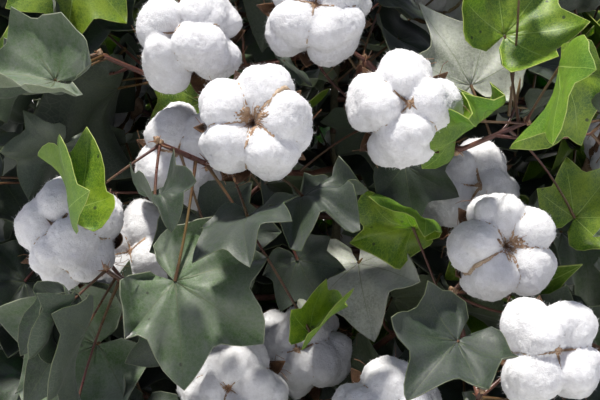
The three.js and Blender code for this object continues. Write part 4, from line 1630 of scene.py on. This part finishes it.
# %% [markdown]
# Leaves in the close view have finer blades. So each finish has a front and a back piece, which
# also keeps every piece well under its limit of faces.

# %% Place the leaves
for finish, parts in leaf_finishes.items():
    for side, here in (("front", True), ("back", False)):
        batch = [leaf for leaf in taken.leaves
                 if leaf.finish == finish and in_close_view(leaf) == here]
        points = points_mesh(
            f"{finish} leaf points",
            [leaf.joint for leaf in batch],
            kind=("INT", "value", [leaf.kind for leaf in batch]),
            turn=("QUATERNION", "value", [leaf_turn(leaf) for leaf in batch]),
            size=("FLOAT_VECTOR", "vector", [leaf_size(leaf) * MM for leaf in batch]),
        )
        skins = {part.capitalize(): skin for part, skin in parts.items()}
        piece = grown(f"leaves_{finish}_{side}", points, leaf_tree, Kinds=leaf_kinds, **skins)
        print(len(batch), "leaves in", piece.name)
        add_piece(piece, leaf_nodes)
remove_shapes(leaf_kinds)

# %% [markdown]
# ## Bark on the stem and the branches
#
# A limb is a tube round its line, cornered softly where the line bends. A curve with a bevel would
# make a plain tube, but a real limb isn't round: the main stem has low ridges, a swelling under
# each branch and the flare at its foot, and the branches swell at their nodes. So each tube is
# written ring by ring, with its own reach for every ring and side.


# %% Tubes with relief
def rounded_line(points, step, passes):
    """Points about step mm apart along a line, its corners softened, and how far along each is."""
    points = np.array(points)
    knots = np.concatenate([[0], np.cumsum(np.linalg.norm(np.diff(points, axis=0), axis=1))])
    where = np.linspace(0, knots[-1], max(3, math.ceil(knots[-1] / step) + 1))
    line = np.stack([np.interp(where, knots, points[:, k]) for k in range(3)], axis=1)
    for _ in range(passes):
        line[1:-1] = (line[:-2] + 2 * line[1:-1] + line[2:]) / 4
    return line, where, knots


def around(sides):
    return 2 * math.pi * np.arange(sides) / sides


def tube_part(line, reach):
    """Points and faces of a closed tube. reach has a row for each ring and a column for each side."""
    rings, sides = reach.shape
    run = np.gradient(line, axis=0)
    run /= np.linalg.norm(run, axis=1, keepdims=True)
    start = np.cross(run[0], (0.0, 1.0, 0.0) if abs(run[0][1]) < 0.8 else (1.0, 0.0, 0.0))
    side = [unit(start)]
    for i in range(1, rings):
        side.append(unit(side[-1] - run[i] * (side[-1] @ run[i])))
    side = np.array(side)
    other = np.cross(run, side)
    turn = around(sides)
    out = side[:, None] * np.cos(turn)[:, None] + other[:, None] * np.sin(turn)[:, None]
    points = (line[:, None] + reach[..., None] * out).reshape(-1, 3)
    faces = [tuple(reversed(range(sides))), tuple(range((rings - 1) * sides, rings * sides))]
    for i in range(rings - 1):
        for j in range(sides):
            a = i * sides + j
            b = i * sides + (j + 1) % sides
            faces.append((a, b, b + sides, a + sides))
    return points, faces


def joined_mesh(name, parts, smooth=True):
    mesh = bpy.data.meshes.new(name)
    faces = []
    start = 0
    for points, part_faces in parts:
        faces += [tuple(v + start for v in face) for face in part_faces]
        start += len(points)
    mesh.from_pydata((np.vstack([points for points, _ in parts]) * MM).tolist(), [], faces)
    mesh.polygons.foreach_set("use_smooth", [smooth] * len(mesh.polygons))
    return mesh


def bumps(line, turn, size, seed):
    """A smooth random value between about -1 and 1 at each ring and side."""
    rows = []
    for point in line:
        at = Vector(point) / size + Vector((seed, 0, 0))
        rows.append([noise.noise(at + Vector((math.cos(t), math.sin(t), 0)) * 0.8) for t in turn])
    return np.array(rows)


# %% [markdown]
# The bark is dark olive. The branches and leaf stalks are reddish purple and slightly glossy. The
# dry parts of the bolls are brown outside and tan inside. These finishes differ only in colours,
# sizes, gloss and relief, so each is one row.

# %% Finishes of the wood
# For each finish: dark and light colour, sizes of patches and specks, roughness, grain and relief.
WOOD_LOOKS = {
    "stem bark": ((0.035, 0.04, 0.018), (0.12, 0.105, 0.055), 0.02, 0.002, (0.6, 0.85), 0.0012, 0.0009),
    "branch skin":
        ((0.045, 0.017, 0.013), (0.17, 0.075, 0.045), 0.035, 0.0015, (0.28, 0.46), 0.0015, 0.0003),
    "twig skin": ((0.055, 0.018, 0.018), (0.17, 0.075, 0.05), 0.045, 0.0015, (0.25, 0.42), 0.0012, 0.0002),
    "leaf stalk skin":
        ((0.07, 0.02, 0.016), (0.13, 0.085, 0.03), 0.06, 0.002, (0.25, 0.42), 0.001, 0.00015),
    "dry brown bur": ((0.06, 0.026, 0.012), (0.2, 0.105, 0.05), 0.012, 0.0012, (0.55, 0.8), 0.001, 0.0004),
    "pale tan bur lining":
        ((0.3, 0.2, 0.12), (0.58, 0.46, 0.33), 0.014, 0.0015, (0.45, 0.7), 0.0009, 0.0003),
    "dry bract teeth": ((0.17, 0.062, 0.03), (0.42, 0.23, 0.12), 0.01, 0.001, (0.4, 0.6), 0.001, 0.0001),
    "brown hollow lining":
        ((0.18, 0.1, 0.05), (0.48, 0.33, 0.21), 0.006, 0.0008, (0.6, 0.85), 0.0008, 0.0003),
}
wood_finishes = {name: make_finish(name, *look) for name, look in WOOD_LOOKS.items()}
print("wood finishes", list(wood_finishes))

# %% [markdown]
# The main stem, the boughs and the twigs are three pieces, each with its own skin. The twigs get a
# little bark over the solids' radius, as the photo shows them about as thick as a boll's stalk.

# %% Main stem and branches
STEM_SIDES = 22
STEM_RIDGES = 5
STEM_STEPS = 18
BOUGH_SIDES = 12
TWIG_SIDES = 9
TWIG_BARK = 0.4
KNOT_HEIGHT = 7
RIDGE_SHARE = 0.035
ROOT_SHARE = 0.16
KNOT_SHARE = 0.16


def stem_part():
    heights = [STEM_HEIGHT * i / STEM_STEPS for i in range(STEM_STEPS + 1)]
    line = rounded_line([stem_centre(z) for z in heights], 3.5, 3)[0]
    turn = around(STEM_SIDES)
    z = line[:, 2]
    radius = np.array([stem_radius(h) for h in z])[:, None]
    swellings = [np.exp(-(((z - branch.stem_height) / KNOT_HEIGHT) ** 2)) for branch in branches]
    foot = np.exp(-z / 35)[:, None]
    ridges = RIDGE_SHARE * np.cos(STEM_RIDGES * turn + z[:, None] / 90)
    roots = foot * ROOT_SHARE * np.cos(4 * turn + 1)
    reach = radius * (1 + ridges + roots + KNOT_SHARE * sum(swellings)[:, None])
    points, faces = tube_part(line, reach + bumps(line, turn, 12, 3.1) * 0.45)
    points[:, 2] = np.maximum(points[:, 2], 0)
    return points, faces


def bough_part(branch):
    line, where, _ = rounded_line(branch.bough_line(), 4, 2)
    share = (where / where[-1])[:, None]
    turn = around(BOUGH_SIDES)
    root = min(BOUGH_ROOT_RADIUS, 0.8 * stem_radius(branch.root[2]))
    radius = root + (TWIG_ROOT_RADIUS - root) * share + 0.9 * np.exp(-where / 7)[:, None]
    return tube_part(line, radius + bumps(line, turn, 9, branch.number) * 0.3)


def twig_part(points, root, tip, number, sides, nodes=()):
    line, where, knots = rounded_line(points, 4, 2)
    share = (where / where[-1])[:, None]
    radius = root + (tip - root) * share
    for k in nodes:
        radius = radius + 0.55 * np.exp(-(((where - knots[k]) / 4.5) ** 2))[:, None]
    return tube_part(line, radius + bumps(line, around(sides), 8, number) * 0.2)


bough_nodes = [n for n in frame["nodes"] if n.startswith("branch_")]


def add_joined(name, parts, finish, nodes):
    """Joins parts into one mesh with one finish, and adds it as a piece."""
    add_piece(piece_of(name, joined_mesh(name, parts), finish), nodes)


add_joined("stem", [stem_part()], wood_finishes["stem bark"], ["main_stem"])
boughs = [bough_part(branch) for branch in branches]
add_joined("boughs", boughs, wood_finishes["branch skin"], bough_nodes)
twigs = []
for branch in branches:
    nodes = range(2, 2 + len(branch.nodes))
    radii = (TWIG_ROOT_RADIUS + TWIG_BARK, TWIG_TIP_RADIUS + TWIG_BARK)
    twigs.append(twig_part(branch.twig_line(), *radii, branch.number, TWIG_SIDES, nodes))
twigs.append(twig_part(top_shoot, STEM_TOP_RADIUS, TWIG_TIP_RADIUS, 40, TWIG_SIDES))
add_joined("twigs", twigs, wood_finishes["twig skin"], leaf_nodes)

# %% [markdown]
# Leaf stalks, boll stalks and the finest twigs are many thin lines. A tree turns each into a curve
# and sweeps a circle along it, scaled by the radius stored on its points.


# %% Thin lines as swept curves
def make_sweep_tree():
    inputs = [("Sides", "Int", 6), ("Skin", "Material", None)]
    tree, given = nodes_tree("sweep lines", inputs)
    curve = add_node(tree, "GeometryNodeMeshToCurve", {"Mesh": given["Geometry"]})
    sockets = {"Radius": 1.0, "Resolution": given["Sides"]}
    circle = add_node(tree, "GeometryNodeCurvePrimitiveCircle", sockets)
    sockets = {"Curve": curve.outputs["Curve"], "Profile Curve": circle.outputs["Curve"],
               "Scale": stored(tree, "thick", "FLOAT"), "Fill Caps": True}
    sweep = add_node(tree, "GeometryNodeCurveToMesh", sockets)
    smooth = add_node(tree, "GeometryNodeSetShadeSmooth", {"Geometry": sweep.outputs["Mesh"]})
    return close_tree(tree, dressed(tree, realized(tree, smooth.outputs["Geometry"]), given["Skin"]))


def lines_mesh(name, lines):
    mesh = bpy.data.meshes.new(name)
    edges = []
    start = 0
    for points, _ in lines:
        edges += [(start + i, start + i + 1) for i in range(len(points) - 1)]
        start += len(points)
    mesh.from_pydata((np.vstack([points for points, _ in lines]) * MM).tolist(), edges, [])
    thick = np.concatenate([radii for _, radii in lines]) * MM
    mesh.attributes.new("thick", "FLOAT", "POINT").data.foreach_set("value", thick)
    return mesh


def arched(root, joint, rise, aside, steps, root_radius, radius, joint_radius):
    """A stalk from root to joint that bows up and aside and is thicker at both ends."""
    t = np.linspace(0, 1, steps)[:, None]
    bow = UP * rise + unit(np.cross(joint - root, UP) + 1e-6) * aside
    line = along(root, joint, t) + bow * 4 * t * (1 - t)
    t = t[:, 0]
    at_root = (root_radius - radius) * np.exp(-t * 9)
    at_joint = (joint_radius - radius) * np.exp((t - 1) * 11)
    return line, radius + at_root + at_joint


def add_swept(name, lines, sides, finish, nodes):
    """Sweeps lines into one piece of thin round stalks or threads."""
    skin = wood_finishes[finish]
    piece = grown(name, lines_mesh(name + " lines", lines), sweep_tree, Sides=sides, Skin=skin)
    add_piece(piece, nodes)


sweep_tree = make_sweep_tree()
stalks = []
for i, leaf in enumerate(taken.leaves):
    reach = np.linalg.norm(leaf.joint - leaf.root)
    thin = 0.8 + leaf.length * 0.0035
    draws = Draws(181, i)
    bow = [reach * draws.between(-0.01, 0.06), reach * draws.between(-0.045, 0.045)]
    stalks.append(arched(leaf.root, leaf.joint, *bow, 8, thin + 0.6, thin, thin + 0.35))
add_swept("leaf_stalks", stalks, 6, "leaf stalk skin", leaf_nodes)
side_radii = (SIDE_TWIG_RADIUS + 0.5, SIDE_TWIG_RADIUS, 1.0)
fine = [arched(*twig, -3, 2, 7, *side_radii) for twig in side_twigs]
for branch in branches:
    for j in range(len(branch.bolls)):
        line, where, _ = rounded_line(branch.stalk_line(j), 4, 3)
        fine.append((line, STALK_RADIUS + 0.9 * (where / where[-1]) ** 4 + 0.6 * np.exp(-where / 5)))
add_swept("boll_stalks", fine, 7, "twig skin", leaf_nodes)

# %% [markdown]
# ## The open bolls
#
# A ripe boll holds one lock of lint for each chamber. Each lock here is a few round puffs that
# swell out between the walls of the bur, with smaller lumps where the seeds sit. Metaballs would
# melt them together and fill the creases. Seen from the boll's middle, the surface in any direction
# is instead where the last of these balls ends, softly blended, so deep creases stay between the
# locks and a hollow at the front.

# %% Shape of the lint
PUFFS = ((56, 24.5, 21.4), (88, 25.0, 21.4), (119, 20.5, 18.8))
LUMPS_PER_LOCK = 4
LUMP_DISTANCE = 33.0
LUMP_RADIUS = (12.5, 16.0)
CORE_RADIUS = 15.0
BLEND = 0.62
RIPPLES = ((13.0, 1.6), (5.0, 0.6), (1.5, 1.1))
CREASE_SEARCH = np.arange(-24, 25, 2)
# The bolls that show a wide brown hollow, each with the side (right, up) on which one wall of the
# bur stands proud of the lint; in the others the locks close over the hollow.
OPEN_STARS = {2: (1, 1), 8: (-1, -0.6), 18: (0.8, 1), 22: (1, 0), 26: (0, 1)}
boll_nodes = [n for n in frame["nodes"] if n.startswith("boll_")]


def sphere_directions(subdivisions):
    ball = bmesh.new()
    bmesh.ops.create_icosphere(ball, subdivisions=subdivisions, radius=1)
    points = np.array([v.co for v in ball.verts])
    faces = [tuple(v.index for v in face.verts) for face in ball.faces]
    ball.free()
    return points, faces


def ball_exit(directions, centre, radius):
    """How far out a ball reaches in each direction, falling off fast beside the ball."""
    ahead = directions @ centre
    aside = np.sqrt(np.maximum(0, centre @ centre - ahead**2))
    inside = np.sqrt(np.maximum(0, radius**2 - aside**2))
    return np.where(ahead > 0, ahead + inside - 4 * np.maximum(0, aside - radius), 0)


print("open bolls with a wide hollow", sorted(OPEN_STARS))

# %% [markdown]
# Each boll has directions of its own: degrees from the axis of its open face, and a bearing round
# it. One lock leads and closes over the front, except in the bolls with a wide hollow.


# %% One boll and its surface
class Boll:
    def __init__(self, number, plan):
        draws = Draws(71, number)
        self.number = number
        self.centre = plan["centre"]
        self.axis = plan["axis"]
        self.locks = plan["locks"]
        self.turn = np.array(Vector(UP).rotation_difference(Vector(self.axis)).to_matrix())
        self.twist = draws.between(0, 360)
        self.plump = [draws.between(0.95, 1.03) for _ in range(self.locks)]
        self.front = front_of(self.centre)
        self.open_star = number in OPEN_STARS
        self.spheres = self.balls()

    def spot(self, polar, bearing, radius):
        """A place by degrees from the boll's axis, degrees round it, and a radius."""
        return heading(bearing, 90 - polar) * radius

    def world(self, points):
        return np.asarray(points) @ self.turn.T + self.centre

    def gap_bearing(self, k):
        return self.twist + 360 * (k + 0.5) / self.locks

    def crease_bearing(self, k, polar):
        """Where the lint lies lowest between two locks, at this angle from the boll's axis."""
        tries = self.gap_bearing(k) + CREASE_SEARCH
        reach = self.smooth_reach(headings(tries, [polar] * len(tries)))
        return tries[int(np.argmin(reach + abs(tries - self.gap_bearing(k)) * 0.04))]

    def balls(self):
        draws = Draws(73, self.number)
        spheres = [(np.zeros(3), CORE_RADIUS)]
        leading = int(draws.next() * self.locks)
        for k in range(self.locks):
            bearing = self.twist + 360 * k / self.locks + draws.between(-9, 9)
            lean = draws.between(-4, 8) - (-8 if self.open_star else 19 if k == leading else 6)
            for polar, distance, radius in PUFFS:
                share = max(0, 1 - (polar - 58) / 50)
                size = radius * self.plump[k] * draws.between(0.92, 1.03)
                aside = draws.between(-5, 5)
                spheres.append((self.spot(polar + lean * share, bearing + aside, distance), size))
            for j in range(LUMPS_PER_LOCK):
                polar = 36 + 76 * (j + draws.next()) / LUMPS_PER_LOCK + lean
                aside = draws.between(-0.3, 0.3) * 360 / self.locks
                size = draws.between(*LUMP_RADIUS)
                distance = min(LUMP_DISTANCE, 47.8 - size)
                spheres.append((self.spot(polar, bearing + aside, distance), size))
        return spheres

    def smooth_reach(self, directions):
        total = np.zeros(len(directions))
        for centre, radius in self.spheres:
            total += np.exp(BLEND * ball_exit(directions, centre, radius))
        return np.log(total) / BLEND

    def lint_reach(self, directions):
        reach = self.smooth_reach(directions)
        shift = Vector((self.number * 3.7, 0, 0))
        for size, height in RIPPLES:
            ripple = [noise.noise(Vector(d * r / size) + shift) for d, r in zip(directions, reach)]
            reach = reach + np.array(ripple) * height
        return reach

    def lint_part(self, grid):
        directions, faces = grid
        reach = self.lint_reach(directions)
        return self.world(directions * reach[:, None]), faces


plants = [Boll(i + 1, boll) for i, boll in enumerate(bolls)]
print("creases of the first boll at", [round(plants[0].crease_bearing(k, 60)) for k in range(4)])

# %% [markdown]
# Lint is white, dull and fluffy, and light soaks deep into it, so its shade is never dark. Fine
# grain and a little sheen give its surface the look of felt. The bolls in the close view get four
# times as many faces as the others.

# %% The lint of all bolls
lint = make_finish(
    "lint", (0.665, 0.66, 0.67), (0.77, 0.77, 0.79), patch=0.006, speck=0.0011, rough=(0.9, 1.0),
    grain_size=0.0010, relief=0.0012, Sheen_Weight=0.12, Sheen_Roughness=0.5,
    Subsurface_Weight=0.6, Subsurface_Radius=(1.0, 0.96, 0.97), Subsurface_Scale=0.007,
)
fine_grid = sphere_directions(6)
plain_grid = sphere_directions(5)
front_bolls = sorted((b for b in plants if b.front), key=lambda b: b.centre[0])
half = len(front_bolls) // 2
lint_batches = {
    "lint_front_left": (front_bolls[:half], fine_grid),
    "lint_front_right": (front_bolls[half:], fine_grid),
    "lint_back": ([b for b in plants if not b.front], plain_grid),
}
for name, (batch, grid) in lint_batches.items():
    nodes = [f"boll_{b.number:02d}" for b in batch]
    add_joined(name, [b.lint_part(grid) for b in batch], lint, nodes)

# %% [markdown]
# Behind and between the locks stands the dry bur. Each of its segments is a pointed shell that
# bends back, and a thin tan wall runs from it into each crease. Mostly only a line of the wall
# shows, but in the bolls with a wide hollow one wall stands proud of the lint. Both are shells
# between two grids of points, since a sheet without thickness would not be closed.

# %% The dry bur of each boll
SEGMENT_POLAR = (172, 97)
SEGMENT_HALF_WIDTH = 13.0
SHELL = 0.9
SEGMENT_ROWS = 9
SEGMENT_COLUMNS = 7
WALL_POLAR = (12, 150)
WALL_ROWS = 24
WALL_DEPTH = 6
FLUSH_WALL = 0.1
PROUD_WALL = 1.3


def shell_part(top, low):
    """A closed shell between two grids of points."""
    rows, columns = top.shape[:2]
    size = rows * columns
    upper = [quad for _, _, quad in grid_quads(rows, columns)]
    lower = [tuple(size + v for v in reversed(quad)) for quad in upper]
    ring = grid_edge(rows, columns)
    rim = [(b, a, size + a, size + b) for a, b in zip(ring, ring[1:] + ring[:1])]
    points = np.concatenate([top.reshape(-1, 3), low.reshape(-1, 3)])
    return points, upper + lower + rim


def segment_part(boll, k, draws):
    u = np.linspace(0, 1, SEGMENT_ROWS)[:, None]
    v = np.linspace(-1, 1, SEGMENT_COLUMNS)[None, :]
    end = SEGMENT_POLAR[1] + draws.between(-12, 10)
    polar = SEGMENT_POLAR[0] + (end - SEGMENT_POLAR[0]) * u
    reach = 22 + 23 * u**0.8 + draws.between(0, 5) * u**4
    width = SEGMENT_HALF_WIDTH * (0.3 + 0.7 * np.sin(math.pi * np.minimum(1, u * 1.6 + 0.1) * 0.5))
    width = width * (1 - np.clip((u - 0.35) / 0.65, 0, 1) ** 1.7) + 0.4
    round_axis = np.maximum(8, reach * np.sin(np.radians(polar)))
    bearing = boll.gap_bearing(k) + np.degrees(v * width / round_axis)
    cup = 3.2 * v**2 * width / SEGMENT_HALF_WIDTH
    rise = np.radians(90 - polar)
    b = np.radians(bearing)
    out = np.stack([np.cos(b) * np.cos(rise), np.sin(b) * np.cos(rise), np.sin(rise) + 0 * b], axis=-1)
    outer = out * (reach - cup)[..., None]
    inner = out * (reach - cup - SHELL)[..., None]
    return shell_part(boll.world(outer), boll.world(inner))


def wall_part(boll, k, proud):
    """The wall in a crease, from the front hollow round to the bur, proud mm over the lint."""
    polar = np.linspace(*WALL_POLAR, WALL_ROWS)
    bearing = np.array([boll.crease_bearing(k, p) for p in polar])
    out = headings(bearing, polar)
    ends = np.sin(np.radians((polar - WALL_POLAR[0]) / (WALL_POLAR[1] - WALL_POLAR[0]) * 180))
    crease = boll.lint_reach(out) + (proud + 1) * ends**0.6 - 1
    half_width = (0.3 + 0.9 * ends) * (0.5 + proud)
    side = np.array([heading(b + 90, 0) for b in bearing]) * half_width[:, None]
    outer = out * crease[:, None]
    inner = out * (crease[:, None] - WALL_DEPTH)
    top = np.stack([outer + side, inner + side], axis=1)
    low = np.stack([outer - side, inner - side], axis=1)
    return shell_part(boll.world(low), boll.world(top))


segments, walls = [], []
for boll in plants:
    draws = Draws(79, boll.number)
    ways = [boll.world(heading(boll.gap_bearing(k), 0)) - boll.centre for k in range(boll.locks)]
    right, up = OPEN_STARS.get(boll.number, (0, 0))
    proud_one = int(np.argmax([way @ (right, 0, up) for way in ways]))
    for k in range(boll.locks):
        segments.append(segment_part(boll, k, draws))
        proud = k == proud_one and boll.open_star
        walls.append(wall_part(boll, k, PROUD_WALL if proud else FLUSH_WALL))
add_joined("burs", segments, wood_finishes["dry brown bur"], boll_nodes)
add_joined("bur_walls", walls, wood_finishes["pale tan bur lining"], boll_nodes)

# %% [markdown]
# Where the locks part at the front, the boll is lined with brown, whose arms run out a little way
# along the creases. It follows the lint closely, so it is a thin shell over it with a few threads.

# %% The brown hollow at the front of a boll
STAR_COLUMNS = 56
STAR_ROWS = 9
STAR_RAYS = 9
STAR_SIZE = 24
CLOSED_STAR_SIZE = 7
STAR_DEEPEST = 38
ARM_WIDTH = 7
ARM_LENGTH = (12, 30)
ARM_POLAR = 30


def star_size(boll):
    return STAR_SIZE if boll.open_star else CLOSED_STAR_SIZE


def star_part(boll, draws):
    bearings = boll.twist + 360 * np.arange(STAR_COLUMNS + 1) / STAR_COLUMNS
    turn = np.radians(bearings)
    ends = star_size(boll) * (0.85 + 0.15 * np.sin(3 * turn) + 0.1 * np.sin(7 * turn))
    for k in range(boll.locks):
        crease = boll.crease_bearing(k, ARM_POLAR)
        off = np.array([wrapped(b - crease) for b in bearings])
        ends = ends + draws.between(*ARM_LENGTH) * np.exp(-((off / ARM_WIDTH) ** 2))
    share = np.linspace(0.02, 1, STAR_ROWS)[:, None]
    polar = share * ends
    out = np.array([headings(bearings, row) for row in polar])
    grid = out.shape[:2]
    reach = np.minimum(boll.lint_reach(out.reshape(-1, 3)).reshape(grid), STAR_DEEPEST)
    top = out * (reach + 0.5 - 0.6 * share**3)[..., None]
    low = out * (reach - 1.2)[..., None]
    top, low = (boll.world(side.reshape(-1, 3)).reshape(*grid, 3) for side in (top, low))
    return shell_part(top, low)


def star_lines(boll, draws):
    lines = []
    for i in range(STAR_RAYS):
        bearing = boll.twist + 360 * (i + draws.between(-0.4, 0.4)) / STAR_RAYS
        t = np.linspace(0, 1, 6)
        polar = 2 + t * star_size(boll) * draws.between(0.6, 1.25)
        out = headings([bearing + 7 * math.sin(3 * s) for s in t], polar)
        reach = np.minimum(boll.lint_reach(out) + 0.55, 34)
        lines.append((boll.world(out * reach[:, None]), 0.3 - 0.2 * t))
    return lines


star_parts = [star_part(boll, Draws(89, boll.number)) for boll in plants]
print("hollows", len(star_parts), "points each", len(star_parts[0][0]))

# %% [markdown]
# Round the boll's rim curl the dried teeth of its bracts, and the stalk swells under it into a seat
# with the dry calyx. Dried stipules and lumps of bark remain at each node of a branch. They are
# small, so thin swept lines and plain closed lumps are enough.

# %% Bract teeth, seats and what remains at the nodes
TEETH = 10
TOOTH_START = 158
TOOTH_LENGTH = (48, 72)
SEAT_HEIGHTS = np.array((-36, -34, -31, -28.5, -27))
SEAT_RADII = np.array((2.7, 4.4, 8.5, 11.5, 9.0))
SEAT_SIDES = 14
REMAINS = 6
LUMPS_PER_NODE = 3
LUMP_GRID = sphere_directions(3)


def tooth_line(boll, draws):
    bearing = draws.between(0, 360)
    t = np.linspace(0, 1, 10)
    polar = TOOTH_START - t * draws.between(*TOOTH_LENGTH)
    reach = 18 + 31 * t**0.6 + draws.between(-2, 6) * t**3
    curl = draws.between(5, 22)
    phase = draws.between(0, 6)
    spin = draws.between(3, 8)
    bearings = bearing + curl * t * np.sin(phase + spin * t)
    out = headings(bearings, polar)
    wave = 1.5 * np.sin(phase + spin * 1.3 * t) * t
    return boll.world(out * (reach + wave)[:, None]), 0.65 - 0.45 * t


def seat_part(boll):
    """The swollen end of the boll's stalk with the dry calyx round it."""
    on_calyx = (np.arange(len(SEAT_RADII)) > 1)[:, None]
    ruffle = 1 + 0.12 * np.sin(5 * around(SEAT_SIDES) + boll.twist)[None, :] * on_calyx
    line = boll.world(np.outer(SEAT_HEIGHTS, UP))
    return tube_part(line, SEAT_RADII[:, None] * ruffle)


def remains_at(node, draws):
    """The dried stipules and flower stalks that stay at a node of the branch."""
    lines = []
    for _ in range(REMAINS):
        run = heading(draws.between(0, 360), draws.between(-50, 80))
        bend = heading(draws.between(0, 360), draws.between(-60, 60)) * draws.between(2, 6)
        t = np.linspace(0, 1, 6)[:, None]
        line = node + run * draws.between(5, 12) * t + bend * t * t
        lines.append((line, 0.75 - 0.5 * t[:, 0]))
    return lines


def lump_part(centre, radius, number):
    points, faces = LUMP_GRID
    shift = Vector((number * 2.3, 1, 0))
    reach = np.array([1 + 0.5 * noise.noise(Vector(p) * 1.6 + shift) for p in points])
    return centre + points * reach[:, None] * radius * np.array((1, 1, 1.25)), faces


node_points = [point for branch in branches for point in (*branch.nodes, branch.tip)]
node_points += top_shoot[1:]
lumps = []
threads = []
for i, node in enumerate(node_points):
    draws = Draws(97, i)
    threads += remains_at(node, draws)
    for j in range(LUMPS_PER_NODE):
        aside = heading(draws.between(0, 360), draws.between(-30, 70)) * draws.between(1.6, 3.4)
        lumps.append(lump_part(node + aside, draws.between(1.3, 2.6), i * LUMPS_PER_NODE + j))
for boll in plants:
    draws = Draws(83, boll.number)
    threads += star_lines(boll, draws)
    threads += [tooth_line(boll, draws) for _ in range(TEETH)]
add_swept("bract_teeth", threads, 4, "dry bract teeth", boll_nodes)
brown_parts = [seat_part(boll) for boll in plants] + star_parts + lumps
add_joined("boll_seats", brown_parts, wood_finishes["brown hollow lining"], boll_nodes)

# %% [markdown]
# Loose fibres soften the outline of the lint. Hair particles would be lost in the export, so a tree
# scatters points over the lint, stands a thin strand of a few faces on each and makes them real.


# %% Loose fibres of lint
STRANDS_PER_M2 = 50000
STRAND_SEED = 5
STRAND_LENGTH = 3.0
STRAND_RADIUS = 0.15
STRAND_LEANS = (0.0, 0.5, 1.0)
STRAND_TURN = (0.9, 0.9, 3.14)
STRAND_SIZES = (0.5, 1.3)


def strand_kinds():
    kinds = bpy.data.collections.new("strand kinds")
    for i, lean in enumerate(STRAND_LEANS):
        foot = [(STRAND_RADIUS * math.cos(t), STRAND_RADIUS * math.sin(t), -0.5) for t in around(3)]
        points = np.array([*foot, (lean, 0.3 * lean, STRAND_LENGTH)])
        faces = [(2, 1, 0), (0, 1, 3), (1, 2, 3), (2, 0, 3)]
        mesh = joined_mesh(f"strand_{i}", [(points, faces)], smooth=False)
        strand = piece_of(f"strand_{i}", mesh, lint)
        bpy.context.collection.objects.unlink(strand)
        kinds.objects.link(strand)
    return kinds


def make_scatter_tree():
    inputs = [("Strands", "Collection", None), ("Density", "Float", 1.0)]
    inputs += [("Seed", "Int", STRAND_SEED), ("Skin", "Material", None)]
    tree, given = nodes_tree("scatter strands", inputs)
    sockets = {"Mesh": given["Geometry"], "Density": given["Density"], "Seed": given["Seed"]}
    scatter = add_node(tree, "GeometryNodeDistributePointsOnFaces", sockets)
    low = tuple(-angle for angle in STRAND_TURN)
    spin = add_node(tree, "FunctionNodeRandomValue", {0: low, 1: STRAND_TURN}, data_type="FLOAT_VECTOR")
    sockets = {"Rotation": scatter.outputs["Rotation"], "Rotate By": spin.outputs[0]}
    turned = add_node(tree, "FunctionNodeRotateRotation", sockets, rotation_space="LOCAL")
    sockets = {2: STRAND_SIZES[0], 3: STRAND_SIZES[1]}
    size = add_node(tree, "FunctionNodeRandomValue", sockets, data_type="FLOAT")
    turn = turned.outputs["Rotation"]
    place = instances_on(tree, scatter.outputs["Points"], given["Strands"], turn, size.outputs[1])
    return close_tree(tree, dressed(tree, realized(tree, place.outputs["Instances"]), given["Skin"]))


strands = strand_kinds()
lint_mesh = joined_mesh("lint surface", [b.lint_part(plain_grid) for b in plants])
fibres = grown("lint_fibres", lint_mesh, make_scatter_tree(), Strands=strands,
               Density=float(STRANDS_PER_M2), Seed=STRAND_SEED, Skin=lint)
add_piece(fibres, boll_nodes)
remove_shapes(strands)
